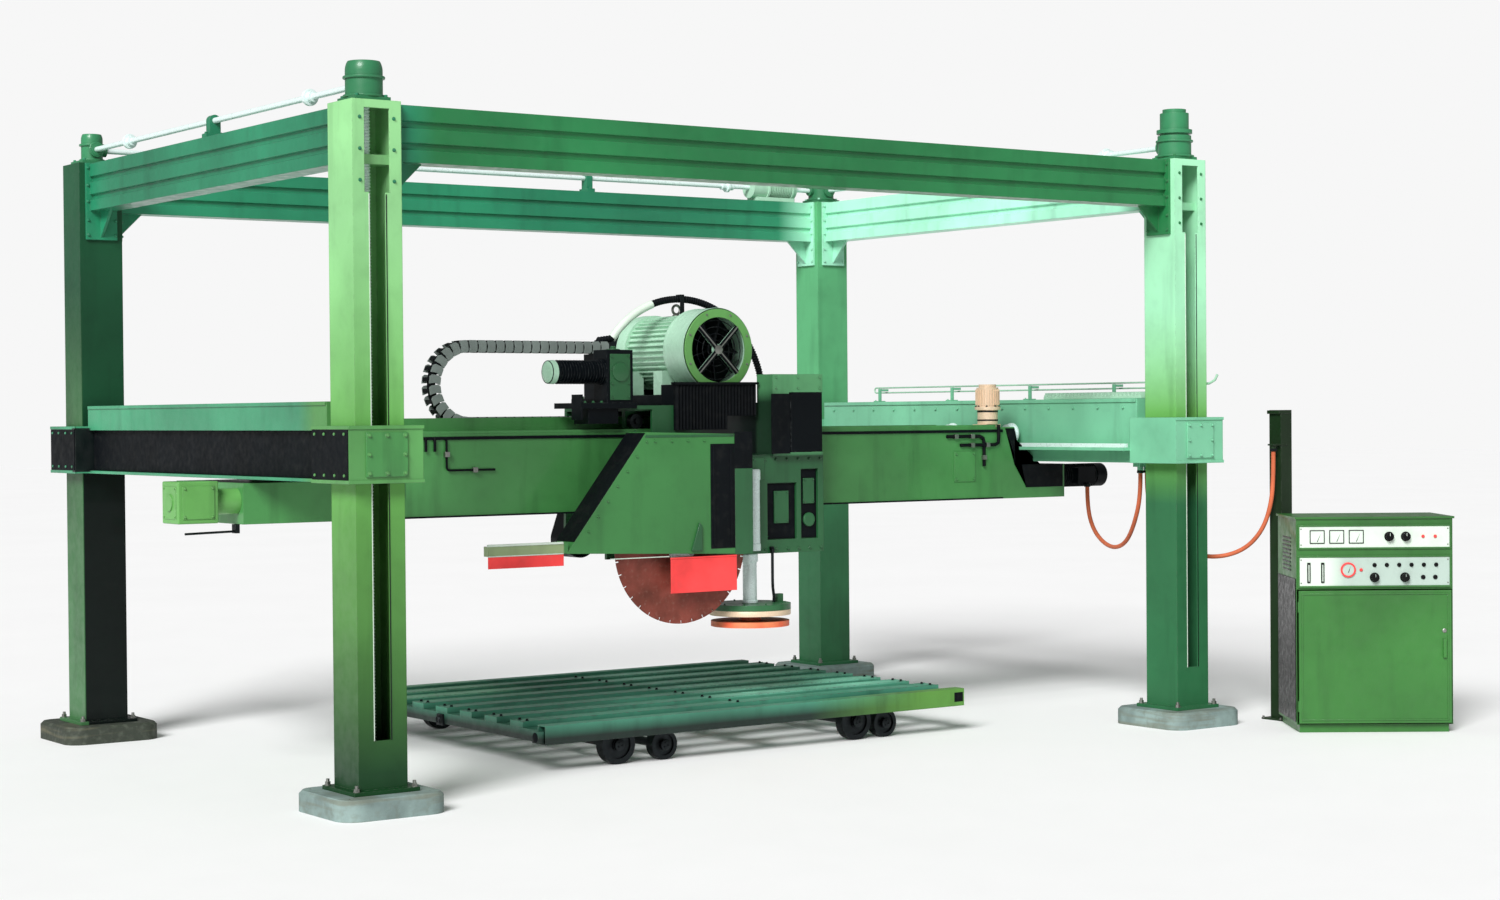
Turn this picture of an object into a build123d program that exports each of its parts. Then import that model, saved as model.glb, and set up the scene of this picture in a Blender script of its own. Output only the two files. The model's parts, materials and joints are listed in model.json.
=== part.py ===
from build123d import *
import math
import os

# Four-column bridge saw for stone blocks, in millimetres.
# Origin: centre of the four columns at floor level. +X to the right along the front,
# +Y to the rear, +Z up.

# --- driving dimensions: columns and top ring ---
COLUMN_SPACING_X = 6900
COLUMN_SPACING_Y = 4500
COLUMN_SIZE = 330
COLUMN_WALL = 12
PLINTH_HEIGHT = 130
PLINTH_SIZE = 720
COLUMN_TOP = 4330
BEAM_BOTTOM = 3970
BEAM_TOP = 4320
BEAM_WIDTH = 180
BRACKET_PLATE = 20
BRACKET_DROP = 215
SCREW_RADIUS = 35
SHAFT_RADIUS = 20
SHAFT_Z = 4440
FIT = 0.05          # radial clearance of a shaft running in its bearing
GAP = 0.3           # least gap between pieces on different bodies
FLANGE_THICKNESS = 25
FLANGE_HALF = 220
STUD_OFFSET = 195
SLOT_HALF = 55
SLOT_BOTTOM = 450
SLOT_TOP = 3780
WINDOW_HALF = 85
WINDOW_TOP = 4280
ANCHOR_OFFSET = 270
ANCHOR_HOLE_RADIUS = 14

# --- lift frame ---
COLLAR_SIZE = 500
COLLAR_BOTTOM = 2010
COLLAR_TOP = 2360
SIDE_BEAM_OUTER = 3600
SIDE_BEAM_INNER = 3280
SIDE_BEAM_TOP = 2510
CHANNEL_TOP = 2330
APRON_THICKNESS = 12
LEDGE_TOP = 2130
BRIDGE_RAIL_HEIGHT = 30
BRIDGE_RAIL_X = 3180
NUT_RADIUS = 55

# --- bridge ---
GIRDER_FRONT = -800
GIRDER_REAR = 0
GIRDER_BOTTOM = 1715
GIRDER_TOP = 2290
GIRDER_END = 2950
PLATE = 20
CARRIAGE_RAIL_TOP = 2310
CARRIAGE_RAIL_Y = (GIRDER_FRONT + 30, GIRDER_REAR - 30)
BRIDGE_DRIVE_Y = GIRDER_FRONT + 110
END_REAR = 300
END_OUTER = 3620
END_HOOK_TOP = 1985
BRIDGE_WHEEL_RADIUS = 75
BRIDGE_WHEEL_FRONT_Y = -620
BRIDGE_WHEEL_REAR_Y = 120
BRIDGE_SHAFT_RADIUS = 25
BRIDGE_WHEEL_Z = LEDGE_TOP + BRIDGE_RAIL_HEIGHT + BRIDGE_WHEEL_RADIUS

# --- saw carriage ---
CARRIAGE_WHEEL_RADIUS = 55
CARRIAGE_AXLE_RADIUS = 20
CARRIAGE_AXLE_Z = CARRIAGE_RAIL_TOP + CARRIAGE_WHEEL_RADIUS
WHEELSET_LEFT_X = -550
WHEELSET_RIGHT_X = 750
SADDLE_BOTTOM = 2440
SADDLE_TOP = 2480
APRON_FRONT = -900
APRON_REAR = 90
APRON_PLATE = 30
BLADE_X = -450
BLADE_Y = -1200
BLADE_Z = 1473
BLADE_RADIUS = 555
SPINDLE_RADIUS = 40
SPINDLE_PULLEY_RADIUS = 110
MOTOR_X = 170
MOTOR_Z = 2890
MOTOR_RADIUS = 270
MOTOR_SHAFT_RADIUS = 30
MOTOR_FOOT_OFFSET = 230
MOTOR_FOOT_Z = 2560
MOTOR_PULLEY_RADIUS = 66
BELT_Y = 250
BELT_WIDTH = 120
GUARD_TOP_RADIUS = 250
GUARD_LOW_RADIUS = 140
GUARD_SHEET = 8
HOOD_FRONT = -1290
HOOD_REAR = -1060
HOOD_SHEET = 6
HOOD_RIGHT = -30
HOOD_FOOT_RIGHT = 120
HOOD_LIP_RIGHT = 1399
HOOD_LIP_LEFT = 1459
SHELF_LEFT = -2070
SHELF_BOTTOM = 1462
SHELF_DEPTH = 60
FLAP_LEFT = -600
FLAP_RIGHT = -30
CHAIN_Y = -400
CHAIN_WIDTH = 120
CHAIN_HEIGHT = 88
CHAIN_TOP_Z = 2908
CHAIN_BEND_RADIUS = 272
CHAIN_BEND_X = -1740
CHAIN_END_X = -565
CARRIAGE_MOTOR_Z = 2720

# --- horizontal saw unit ---
QUILL_X = 300
QUILL_Y = -1000
QUILL_RADIUS = 50
FLAT_BLADE_RADIUS = 290
FLAT_BLADE_TOP = 893
UNIT_MOTOR_X = 745
UNIT_BOTTOM = 1380
UNIT_TOP = 2110
UNIT_SLIDE_Y = APRON_FRONT - GAP
QUILL_SPINDLE_RADIUS = 25
QUILL_SPINDLE_TOP = 1320

# --- trolley ---
DECK_LEFT = -1820
DECK_RIGHT = 1850
DECK_FRONT = -1600
DECK_REAR = 1300
DECK_TOP = 330
DECK_BEAMS = 7
DECK_BEAM_WIDTH = 170
DECK_BEAM_GAP = 200
DECK_BEAM_THICKNESS = 40
SIDE_TUBE_WIDTH = 100
TROLLEY_TRACK = (-1420, 1120)
TROLLEY_AXLES = ((-1150, 135), (-770, 105), (930, 135), (1200, 105))
TROLLEY_AXLE_RADIUS = 30

# --- control cabinet ---
CABINET_CORNER = (3717, -3222)
CABINET_ANGLE = -36.5
CABINET_WIDTH = 1160
CABINET_DEPTH = 700
CABINET_HEIGHT = 1600
DOOR_TOP = 1062
PANEL_HEIGHTS = ((1095, 1310), (1380, 1540))
POST_X = 4270
POST_Y = -2565
POST_SIZE = 120
POST_TOP = 2410
KNOBS = ((689, 1462), (812, 1462), (580, 1158), (805, 1158))

# --- hoses ---
HOSE_DIAMETER = 34
GLAND_RADIUS = 24
# Hose from the bridge motor's box to the clip under the right side beam.
BRIDGE_HOSE = [(3830, -850, 1790), (3830, -850, 1620), (3790, -955, 1450), (3711, -1158, 1345),
               (3620, -1391, 1310), (3533, -1614, 1370), (3462, -1780, 1530), (3430, -1880, 1745),
               (3430, -1880, 1925)]
# Hose from the clip, behind the column, to the gland on the cable post.
HOSE_END = (4150, -2600, 2090)
SUPPLY_HOSE = [(3500, -1880, 1925), (3500, -1880, 1735), (3550, -1905, 1530), (3660, -1970, 1370),
               (3790, -2090, 1280), (3915, -2260, 1262), (4030, -2420, 1330), (4105, -2530, 1480),
               (4140, -2585, 1680), (4150, -2600, 1890), (4150, -2600, 2090)]

SIGNS = (-1, 1)
COLUMN_X = COLUMN_SPACING_X / 2
COLUMN_Y = COLUMN_SPACING_Y / 2
HALF_COLUMN = COLUMN_SIZE / 2


def block(x0, x1, y0, y1, z0, z1):
    """Box between two corners."""
    return Pos((x0 + x1) / 2, (y0 + y1) / 2, (z0 + z1) / 2) * Box(x1 - x0, y1 - y0, z1 - z0)


def rod_x(x0, x1, y, z, radius):
    return Pos((x0 + x1) / 2, y, z) * Rot(0, 90, 0) * Cylinder(radius, x1 - x0)


def rod_y(x, y0, y1, z, radius):
    return Pos(x, (y0 + y1) / 2, z) * Rot(90, 0, 0) * Cylinder(radius, y1 - y0)


def rod_z(x, y, z0, z1, radius):
    return Pos(x, y, (z0 + z1) / 2) * Cylinder(radius, z1 - z0)


def plate_xz(points, y0, y1):
    """Flat plate with an outline of (x, z) points, from y0 to y1."""
    face = Plane.XZ * make_face(Polyline(*points, close=True))
    return Pos(0, y1, 0) * extrude(face, y1 - y0, dir=(0, -1, 0))


def mirror_x(shape):
    return mirror(shape, about=Plane.YZ)


def fuse(pieces):
    return Part() + list(pieces)


def solids_of(pieces):
    """Every solid of the pieces, kept separate."""
    return [solid for piece in pieces for solid in piece.solids()]


written = []


def save(name, *pieces):
    """Write one sub-part; several pieces stay separate solids of one node."""
    solids = solids_of(pieces)
    shape = solids[0] if len(solids) == 1 else Compound(children=solids)
    export_step(shape, f"parts/{name}.step")
    written.append(name)


# ---------------------------------------------------------------- fixed frame

def foot_plinth(x, y):
    body = Pos(x, y, PLINTH_HEIGHT / 2) * Box(PLINTH_SIZE, PLINTH_SIZE, PLINTH_HEIGHT)
    body = fillet(body.edges().filter_by(Axis.Z), 130)
    body = chamfer(body.faces().sort_by(Axis.Z)[-1].edges(), 22)
    for sx in SIGNS:
        for sy in SIGNS:
            body -= rod_z(x + sx * ANCHOR_OFFSET, y + sy * ANCHOR_OFFSET, -1, PLINTH_HEIGHT + 1,
                          ANCHOR_HOLE_RADIUS)
    return body


def column(x, y, face):
    """Hollow square column; face is -1 or +1 for a slot in its front or rear wall."""
    flange_top = PLINTH_HEIGHT + FLANGE_THICKNESS
    body = block(x - HALF_COLUMN, x + HALF_COLUMN, y - HALF_COLUMN, y + HALF_COLUMN,
                 PLINTH_HEIGHT, COLUMN_TOP)
    inner = HALF_COLUMN - COLUMN_WALL
    body -= block(x - inner, x + inner, y - inner, y + inner, flange_top, COLUMN_TOP - 25)
    wall = sorted((y + face * (inner - 5), y + face * (HALF_COLUMN + 5)))
    body -= block(x - SLOT_HALF, x + SLOT_HALF, *wall, SLOT_BOTTOM, SLOT_TOP)
    body -= block(x - WINDOW_HALF, x + WINDOW_HALF, *wall, SLOT_TOP - 10, WINDOW_TOP)
    body += block(x - FLANGE_HALF, x + FLANGE_HALF, y - FLANGE_HALF, y + FLANGE_HALF,
                  PLINTH_HEIGHT, flange_top)
    for sx in SIGNS:
        for sy in SIGNS:
            body -= rod_z(x + sx * STUD_OFFSET, y + sy * STUD_OFFSET, PLINTH_HEIGHT - 1,
                          flange_top + 1, 13)
    bearing = rod_z(x, y, flange_top, 260, 80)
    head = block(x - inner, x + inner, y - 60, y + 60, 3950, 4010)
    body = fuse([body, bearing, head])
    body -= rod_z(x, y, 200, COLUMN_TOP + 1, SCREW_RADIUS + FIT)
    return body


def anchor_bolts():
    """Stud, washer and nut at each corner of each column's base flange."""
    base = PLINTH_HEIGHT + FLANGE_THICKNESS
    bolts = []
    for cx in (-COLUMN_X, COLUMN_X):
        for cy in (-COLUMN_Y, COLUMN_Y):
            for sx in SIGNS:
                for sy in SIGNS:
                    x, y = cx + sx * STUD_OFFSET, cy + sy * STUD_OFFSET
                    washer = rod_z(x, y, base, base + 4, 22)
                    nut = Pos(x, y, base + 4) * extrude(RegularPolygon(19, 6), 18)
                    bolts.append(fuse([washer, nut, rod_z(x, y, base, base + 40, 11)]))
    return bolts


def ribbed_section(width):
    """Beam outline across its length: three ridges and two grooves on each face."""
    height = BEAM_TOP - BEAM_BOTTOM
    half = width / 2
    groove = 22
    steps = [(0, 0.22, 0), (0.24, 0.33, groove), (0.35, 0.6, 0), (0.62, 0.71, groove), (0.73, 1, 0)]
    right = []
    for low, high, inset in steps:
        right += [(half - inset, low * height), (half - inset, high * height)]
    left = [(-a, b) for a, b in reversed(right)]
    return make_face(Polyline(*right, *left, close=True))


def end_bracket(side, reach):
    """Bolted end plate with its knee gusset, drawn at y = 0 for a beam along X."""
    face = side * reach
    foot = BEAM_BOTTOM - BRACKET_DROP
    plate = block(*sorted((face, face - side * BRACKET_PLATE)), -120, 120, foot, BEAM_TOP + 8)
    knee = plate_xz([(face, BEAM_BOTTOM), (face - side * 220, BEAM_BOTTOM), (face, foot)], -10, 10)
    return plate + knee


def top_beam(length, turn, place):
    """Grooved beam between two end brackets, turned about Z and moved into place."""
    reach = length / 2
    clear = reach - BRACKET_PLATE
    start = Plane((-clear, 0, BEAM_BOTTOM), x_dir=(0, 1, 0), z_dir=(1, 0, 0))
    beam = extrude(start * ribbed_section(BEAM_WIDTH), 2 * clear)
    solids = [beam, end_bracket(-1, reach), end_bracket(1, reach)]
    return [Pos(*place, 0) * Rot(0, 0, turn) * solid for solid in solids]


def top_beam_x(y):
    return top_beam(COLUMN_SPACING_X - COLUMN_SIZE, 0, (0, y))


def top_beam_y(x):
    return top_beam(COLUMN_SPACING_Y - COLUMN_SIZE, 90, (x, 0))


def pillow_block_x(x, y):
    """Bearing block on a top beam for a shaft along X."""
    body = block(x - 35, x + 35, y - 70, y + 70, BEAM_TOP, BEAM_TOP + 30)
    body += block(x - 30, x + 30, y - 40, y + 40, BEAM_TOP + 20, SHAFT_Z)
    body += rod_x(x - 30, x + 30, y, SHAFT_Z, 40)
    return body - rod_x(x - 40, x + 40, y, SHAFT_Z, SHAFT_RADIUS + FIT)


def pillow_block_y(x, y):
    body = block(x - 70, x + 70, y - 35, y + 35, BEAM_TOP, BEAM_TOP + 30)
    body += block(x - 40, x + 40, y - 30, y + 30, BEAM_TOP + 20, SHAFT_Z)
    body += rod_y(x, y - 30, y + 30, SHAFT_Z, 40)
    return body - rod_y(x, y - 40, y + 40, SHAFT_Z, SHAFT_RADIUS + FIT)


def gearbox(x, y, radius, top, style):
    """Bevel gearbox on a column's top plate, bored for the screw and the line shafts."""
    body = block(x - 120, x + 120, y - 120, y + 120, COLUMN_TOP, COLUMN_TOP + 26)
    body += rod_z(x, y, COLUMN_TOP, COLUMN_TOP + 190, radius)
    if style == "dome":
        cap = Pos(x, y, COLUMN_TOP + 190) * Sphere(radius)
        cap &= block(x - radius, x + radius, y - radius, y + radius, COLUMN_TOP + 190, top)
        body += cap
    else:
        body += rod_z(x, y, COLUMN_TOP + 180, top - 30, radius * 0.86)
        body += rod_z(x, y, COLUMN_TOP + 205, COLUMN_TOP + 235, radius * 1.06)
        body += rod_z(x, y, top - 30, top, radius * 0.7)
    inward_x, inward_y = -math.copysign(1, x), -math.copysign(1, y)
    if y > 0:
        snout = sorted((x + inward_x * 60, x + inward_x * (radius + 25)))
        body += rod_x(*snout, y, SHAFT_Z, 45)
        body -= rod_x(*sorted((x + inward_x * 55, x + inward_x * (radius + 40))), y, SHAFT_Z,
                      SHAFT_RADIUS + FIT)
    snout = sorted((y + inward_y * 60, y + inward_y * (radius + 25)))
    body += rod_y(x, *snout, SHAFT_Z, 45)
    body -= rod_y(x, *sorted((y + inward_y * 55, y + inward_y * (radius + 40))), SHAFT_Z,
                  SHAFT_RADIUS + FIT)
    body -= rod_z(x, y, COLUMN_TOP - 1, SHAFT_Z - 55, SCREW_RADIUS + FIT)
    return body


def lift_motor():
    """Geared lifting motor on the rear beam; the line shaft runs through it."""
    y, x0, x1 = COLUMN_Y, 2640, 3110
    body = rod_x(x0, x1, y, SHAFT_Z, 95)
    body += rod_x(x0 + 150, x0 + 170, y, SHAFT_Z, 112)
    body += rod_x(x1 - 60, x1 - 40, y, SHAFT_Z, 112)
    body += block(x0 + 200, x1 - 60, y - 60, y + 60, SHAFT_Z, SHAFT_Z + 125)
    body += block(x0 + 40, x1 - 20, y - 80, y + 80, BEAM_TOP, BEAM_TOP + 35)
    return body - rod_x(x0 - 1, x1 + 1, y, SHAFT_Z, SHAFT_RADIUS + FIT)


def lift_screw(x, y):
    body = rod_z(x, y, 205, SHAFT_Z - 60, SCREW_RADIUS)
    return chamfer(body.edges().filter_by(GeomType.CIRCLE), 4)


def line_shaft_x(y):
    end = COLUMN_X - 62
    body = rod_x(-end, end, y, SHAFT_Z, SHAFT_RADIUS)
    for x in (-2400, 2400):
        body += rod_x(x - 60, x + 60, y, SHAFT_Z, 34)
    return body


def line_shaft_y(x):
    end = COLUMN_Y - 62
    body = rod_y(x, -end, end, SHAFT_Z, SHAFT_RADIUS)
    for y in (-1500, 1500):
        body += rod_y(x, y - 60, y + 60, SHAFT_Z, 34)
    return body


# ---------------------------------------------------------------- lift frame

def lift_frame_side(side):
    """Two collars joined by the side beam: a channel open to the outside under a box."""
    x = side * COLUMN_X
    opening = HALF_COLUMN + 10
    half = COLLAR_SIZE / 2
    pieces = []
    for end in SIGNS:
        y = end * COLUMN_Y
        ring = block(x - half, x + half, y - half, y + half, COLLAR_BOTTOM, COLLAR_TOP)
        ring -= block(x - opening, x + opening, y - opening, y + opening, COLLAR_BOTTOM - 1,
                      COLLAR_TOP + 1)
        arm = sorted((y + end * 60, y + end * (half - 5)))
        hub = rod_z(x, y, COLLAR_BOTTOM + 90, COLLAR_TOP - 90, 90)
        bar = block(x - 40, x + 40, *arm, COLLAR_BOTTOM + 90, COLLAR_TOP - 90)
        pieces += [ring, fuse([hub, bar]) - rod_z(x, y, COLLAR_BOTTOM, COLLAR_TOP, NUT_RADIUS)]
    inner, outer = side * SIDE_BEAM_INNER, side * SIDE_BEAM_OUTER
    end = COLUMN_Y - half + 1
    web = block(*sorted((inner, inner + side * 20)), -end, end, COLLAR_BOTTOM, SIDE_BEAM_TOP)
    low = block(*sorted((inner, outer)), -end, end, COLLAR_BOTTOM, COLLAR_BOTTOM + 20)
    middle = block(*sorted((inner, outer)), -end, end, CHANNEL_TOP, CHANNEL_TOP + 20)
    top = block(*sorted((inner, outer)), -end, end, SIDE_BEAM_TOP - 16, SIDE_BEAM_TOP)
    fascia = block(*sorted((outer - side * 14, outer)), -end, end, CHANNEL_TOP + 5, SIDE_BEAM_TOP)
    pieces += [web, low, middle, top, fascia]
    for y in (-end + 8, end - 8):
        pieces.append(block(*sorted((inner, outer)), y - 8, y + 8,
                            CHANNEL_TOP + 10, SIDE_BEAM_TOP))
    for y in (-1200, -400, 400, 1200):
        pieces.append(block(*sorted((inner, outer - side * 60)), y - 8, y + 8,
                            COLLAR_BOTTOM, CHANNEL_TOP + 10))
    ledge = block(*sorted((inner, inner - side * 150)), -end, end, LEDGE_TOP - 25, LEDGE_TOP)
    pieces.append(ledge)
    return fuse(pieces)


def side_aprons():
    """Smooth black rubber plates that close the outer side of each side beam."""
    end = COLUMN_Y - COLLAR_SIZE / 2 - 10
    aprons = []
    for side in SIGNS:
        x = side * (SIDE_BEAM_OUTER - 40)
        aprons.append(block(*sorted((x, x - side * APRON_THICKNESS)), -end, end,
                            COLLAR_BOTTOM + 24, CHANNEL_TOP - 4))
    return aprons


def bridge_rails():
    end = COLUMN_Y - COLLAR_SIZE / 2 - 20
    return [block(side * BRIDGE_RAIL_X - 20, side * BRIDGE_RAIL_X + 20, -end, end, LEDGE_TOP,
                  LEDGE_TOP + BRIDGE_RAIL_HEIGHT) for side in SIGNS]


def lift_nuts():
    """Flanged bronze nuts held in the collars' hubs, running on the screws."""
    nuts = []
    for x in (-COLUMN_X, COLUMN_X):
        for y in (-COLUMN_Y, COLUMN_Y):
            nut = rod_z(x, y, COLLAR_BOTTOM + 60, COLLAR_TOP - 60, NUT_RADIUS)
            nut += rod_z(x, y, COLLAR_BOTTOM + 60, COLLAR_BOTTOM + 90, 85)
            nuts.append(nut - rod_z(x, y, COLLAR_BOTTOM, COLLAR_TOP, SCREW_RADIUS + FIT))
    return nuts


# ---------------------------------------------------------------- bridge

def girder():
    """Box girder along X, its end carriages, the carriage rails and the chain tray."""
    end = GIRDER_END + 1
    box = block(-end, end, GIRDER_FRONT, GIRDER_REAR, GIRDER_BOTTOM, GIRDER_TOP)
    box -= block(-end - 1, end + 1, GIRDER_FRONT + PLATE, GIRDER_REAR - PLATE, GIRDER_BOTTOM + PLATE,
                 GIRDER_TOP - PLATE)
    pieces = [box]
    for y in CARRIAGE_RAIL_Y:
        pieces.append(block(-2880, 2880, y - 25, y + 25, GIRDER_TOP, CARRIAGE_RAIL_TOP))
    for y in (CHAIN_Y - 75, CHAIN_Y + 75):
        pieces.append(block(-2700, 750, y - 4, y + 4, GIRDER_TOP, GIRDER_TOP + 110))
    pieces += [end_carriage(), mirror_x(end_carriage())]
    body = fuse(pieces)
    for s in SIGNS:
        shaft = sorted((s * (GIRDER_END - 20), s * 3100))
        body -= rod_x(*shaft, BRIDGE_WHEEL_FRONT_Y, BRIDGE_WHEEL_Z, BRIDGE_SHAFT_RADIUS + FIT)
        body -= rod_x(*shaft, BRIDGE_WHEEL_REAR_Y, BRIDGE_WHEEL_Z, BRIDGE_SHAFT_RADIUS + FIT)
    return body


def end_carriage():
    """Right end of the bridge: upper box beside the rail, lower hook under the side beam."""
    upper_x = 3080
    outline = [(GIRDER_END, GIRDER_BOTTOM), (END_OUTER, GIRDER_BOTTOM), (END_OUTER, END_HOOK_TOP),
               (upper_x, END_HOOK_TOP), (upper_x, GIRDER_TOP), (GIRDER_END, GIRDER_TOP)]
    inside = [(GIRDER_END + PLATE, GIRDER_BOTTOM + PLATE), (END_OUTER - PLATE, GIRDER_BOTTOM + PLATE),
              (END_OUTER - PLATE, END_HOOK_TOP - PLATE), (upper_x - PLATE, END_HOOK_TOP - PLATE),
              (upper_x - PLATE, GIRDER_TOP - PLATE), (GIRDER_END + PLATE, GIRDER_TOP - PLATE)]
    body = plate_xz(outline, GIRDER_FRONT, END_REAR)
    return body - plate_xz(inside, GIRDER_FRONT + PLATE, END_REAR - PLATE)


def travel_gearbox():
    """Square gearbox on the left end of the bridge."""
    y = BRIDGE_DRIVE_Y
    body = block(-4080, -3800, y - 130, y + 130, 1730, 2004)
    body = fillet(body.edges(), 10)
    body += rod_x(-3810, -END_OUTER, y, 1867, 85)
    body += rod_x(-4092, -4070, y, 1867, 55)
    return body


def bridge_motor():
    """Black bridge travel motor on the right end of the bridge."""
    y = BRIDGE_DRIVE_Y
    body = rod_x(END_OUTER, 4030, y, 1885, 88)
    body += rod_x(END_OUTER, END_OUTER + 25, y, 1885, 98)
    body += rod_x(4015, 4120, y, 1885, 96)
    body += block(3740, 3920, y - 150, y - 60, 1820, 1950)
    return body


def coolant_pump():
    """Upright pump with its motor on the right end of the girder."""
    x, y = 2900, GIRDER_FRONT + 120
    body = block(x - 90, x + 90, y - 55, y + 80, GIRDER_TOP, GIRDER_TOP + 24)
    body += rod_z(x, y, GIRDER_TOP + 24, 2440, 82)
    body += rod_z(x, y, 2430, 2455, 104)
    body += rod_z(x, y, 2450, 2610, 88)
    body += rod_z(x, y, 2605, 2635, 70)
    return body


def wheel_x(x, y, z, radius):
    """Flanged bridge wheel; the flange is on the outer side of the rail."""
    body = rod_x(x - 30, x + 30, y, z, radius - GAP)
    side = math.copysign(1, x)
    flange = sorted((x + side * 22, x + side * 34))
    body += rod_x(*flange, y, z, radius + 12)
    return body


def bridge_drive_shaft():
    """Cross shaft inside the girder with a wheel at each end."""
    z = BRIDGE_WHEEL_Z
    pieces = [rod_x(-3215, 3215, BRIDGE_WHEEL_FRONT_Y, z, BRIDGE_SHAFT_RADIUS)]
    pieces += [wheel_x(s * BRIDGE_RAIL_X, BRIDGE_WHEEL_FRONT_Y, z, BRIDGE_WHEEL_RADIUS) for s in SIGNS]
    return fuse(pieces)


def bridge_idler(side):
    z = BRIDGE_WHEEL_Z
    axle = rod_x(*sorted((side * 3010, side * 3215)), BRIDGE_WHEEL_REAR_Y, z, BRIDGE_SHAFT_RADIUS)
    return axle + wheel_x(side * BRIDGE_RAIL_X, BRIDGE_WHEEL_REAR_Y, z, BRIDGE_WHEEL_RADIUS)


# ---------------------------------------------------------------- saw carriage

def saddle():
    """Saddle plate over the girder, front and rear aprons, axle brackets, spindle housing."""
    pieces = [block(-620, 860, APRON_FRONT, APRON_REAR, SADDLE_BOTTOM, SADDLE_TOP)]
    front = plate_xz([(-880, 1380), (960, 1380), (960, 2200), (860, SADDLE_TOP), (-620, SADDLE_TOP),
                      (-620, 2300), (-880, 1700)], APRON_FRONT, APRON_FRONT + APRON_PLATE)
    rear = plate_xz([(-640, 1370), (-240, 1370), (560, 1900), (560, SADDLE_TOP), (-620, SADDLE_TOP)],
                    APRON_REAR - APRON_PLATE, APRON_REAR)
    pieces += [front, rear]
    for x in (WHEELSET_LEFT_X, WHEELSET_RIGHT_X):
        for y in (-690, -110):
            pieces.append(block(x - 45, x + 45, y - 20, y + 20, CARRIAGE_AXLE_Z - 45, SADDLE_BOTTOM + 1))
    for x in (-760, -60):
        pieces.append(block(x - 10, x + 10, HOOD_REAR, APRON_FRONT + 5, 1600, 2150))
    pieces.append(rod_y(BLADE_X, HOOD_REAR - 20, APRON_REAR + 10, BLADE_Z, 95))
    pieces.append(rod_y(BLADE_X, HOOD_REAR, HOOD_REAR + 20, BLADE_Z, 130))
    pieces.append(rod_y(BLADE_X, APRON_FRONT - 30, APRON_FRONT, BLADE_Z, 125))
    for s in SIGNS:
        x = MOTOR_X + s * MOTOR_FOOT_OFFSET
        pieces.append(block(x - 60, x + 60, -740, 40, SADDLE_TOP - 1, MOTOR_FOOT_Z))
    body = fuse(pieces)
    for x in (WHEELSET_LEFT_X, WHEELSET_RIGHT_X):
        body -= rod_y(x, APRON_FRONT - 1, 0, CARRIAGE_AXLE_Z, CARRIAGE_AXLE_RADIUS + FIT)
        body -= block(x - 70, x + 70, APRON_FRONT - 1, APRON_FRONT + 40, CARRIAGE_RAIL_TOP - 30,
                      SADDLE_TOP - 30)
    body -= rod_y(BLADE_X, HOOD_REAR - 30, APRON_REAR + 20, BLADE_Z, SPINDLE_RADIUS + FIT)
    return body


def carriage_wheels(x):
    """Front and rear wheel on one axis, each on its own stub axle."""
    z = CARRIAGE_AXLE_Z
    wheels = []
    for y, s in zip(CARRIAGE_RAIL_Y, (1, -1)):
        wheel = rod_y(x, y - 24, y + 24, z, CARRIAGE_WHEEL_RADIUS - GAP)
        axle = rod_y(x, *sorted((y - s * 42, y + s * 110)), z, CARRIAGE_AXLE_RADIUS)
        wheels.append(wheel + axle)
    return wheels


def hood_outline(inset):
    """Hood outline seen from the front, drawn in by inset: narrow above, wider beside the blade."""
    return [(-790 + inset * 0.6, 2290 - inset), (HOOD_RIGHT - inset, 2270 - inset),
            (HOOD_RIGHT - inset, 1860 - inset / 2), (HOOD_FOOT_RIGHT - inset, 1700 - inset / 2),
            (HOOD_FOOT_RIGHT - inset, HOOD_LIP_RIGHT), (-1450 + inset * 1.6, HOOD_LIP_LEFT)]


def blade_hood():
    """Sheet hood over the upper half of the blade, open below, with the left splash shelf."""
    body = plate_xz(hood_outline(0), HOOD_FRONT, HOOD_REAR)
    inside = hood_outline(HOOD_SHEET)
    inside[4] = (inside[4][0], 1380)
    inside[5] = (inside[5][0], 1380)
    body -= plate_xz(inside, HOOD_FRONT + HOOD_SHEET, HOOD_REAR - HOOD_SHEET)
    body -= rod_y(BLADE_X, HOOD_REAR - 30, HOOD_REAR + 1, BLADE_Z, 96)
    rear = HOOD_FRONT + SHELF_DEPTH
    shelf = block(SHELF_LEFT, -1430, HOOD_FRONT, rear, SHELF_BOTTOM, SHELF_BOTTOM + 12)
    lip = block(SHELF_LEFT, -1440, HOOD_FRONT, HOOD_FRONT + 10, SHELF_BOTTOM, 1540)
    rib = block(SHELF_LEFT, SHELF_LEFT + 12, HOOD_FRONT, rear, SHELF_BOTTOM, 1530)
    return fuse([body, shelf, lip, rib])


def blade_flap():
    """Red rubber splash flap hinged on the lower edge of the hood."""
    y = HOOD_FRONT - 8
    body = block(FLAP_LEFT, FLAP_RIGHT, y - 6, y, 1145, 1390)
    body += rod_x(FLAP_LEFT, FLAP_RIGHT, y - 3, 1392, 7)
    return body


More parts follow.
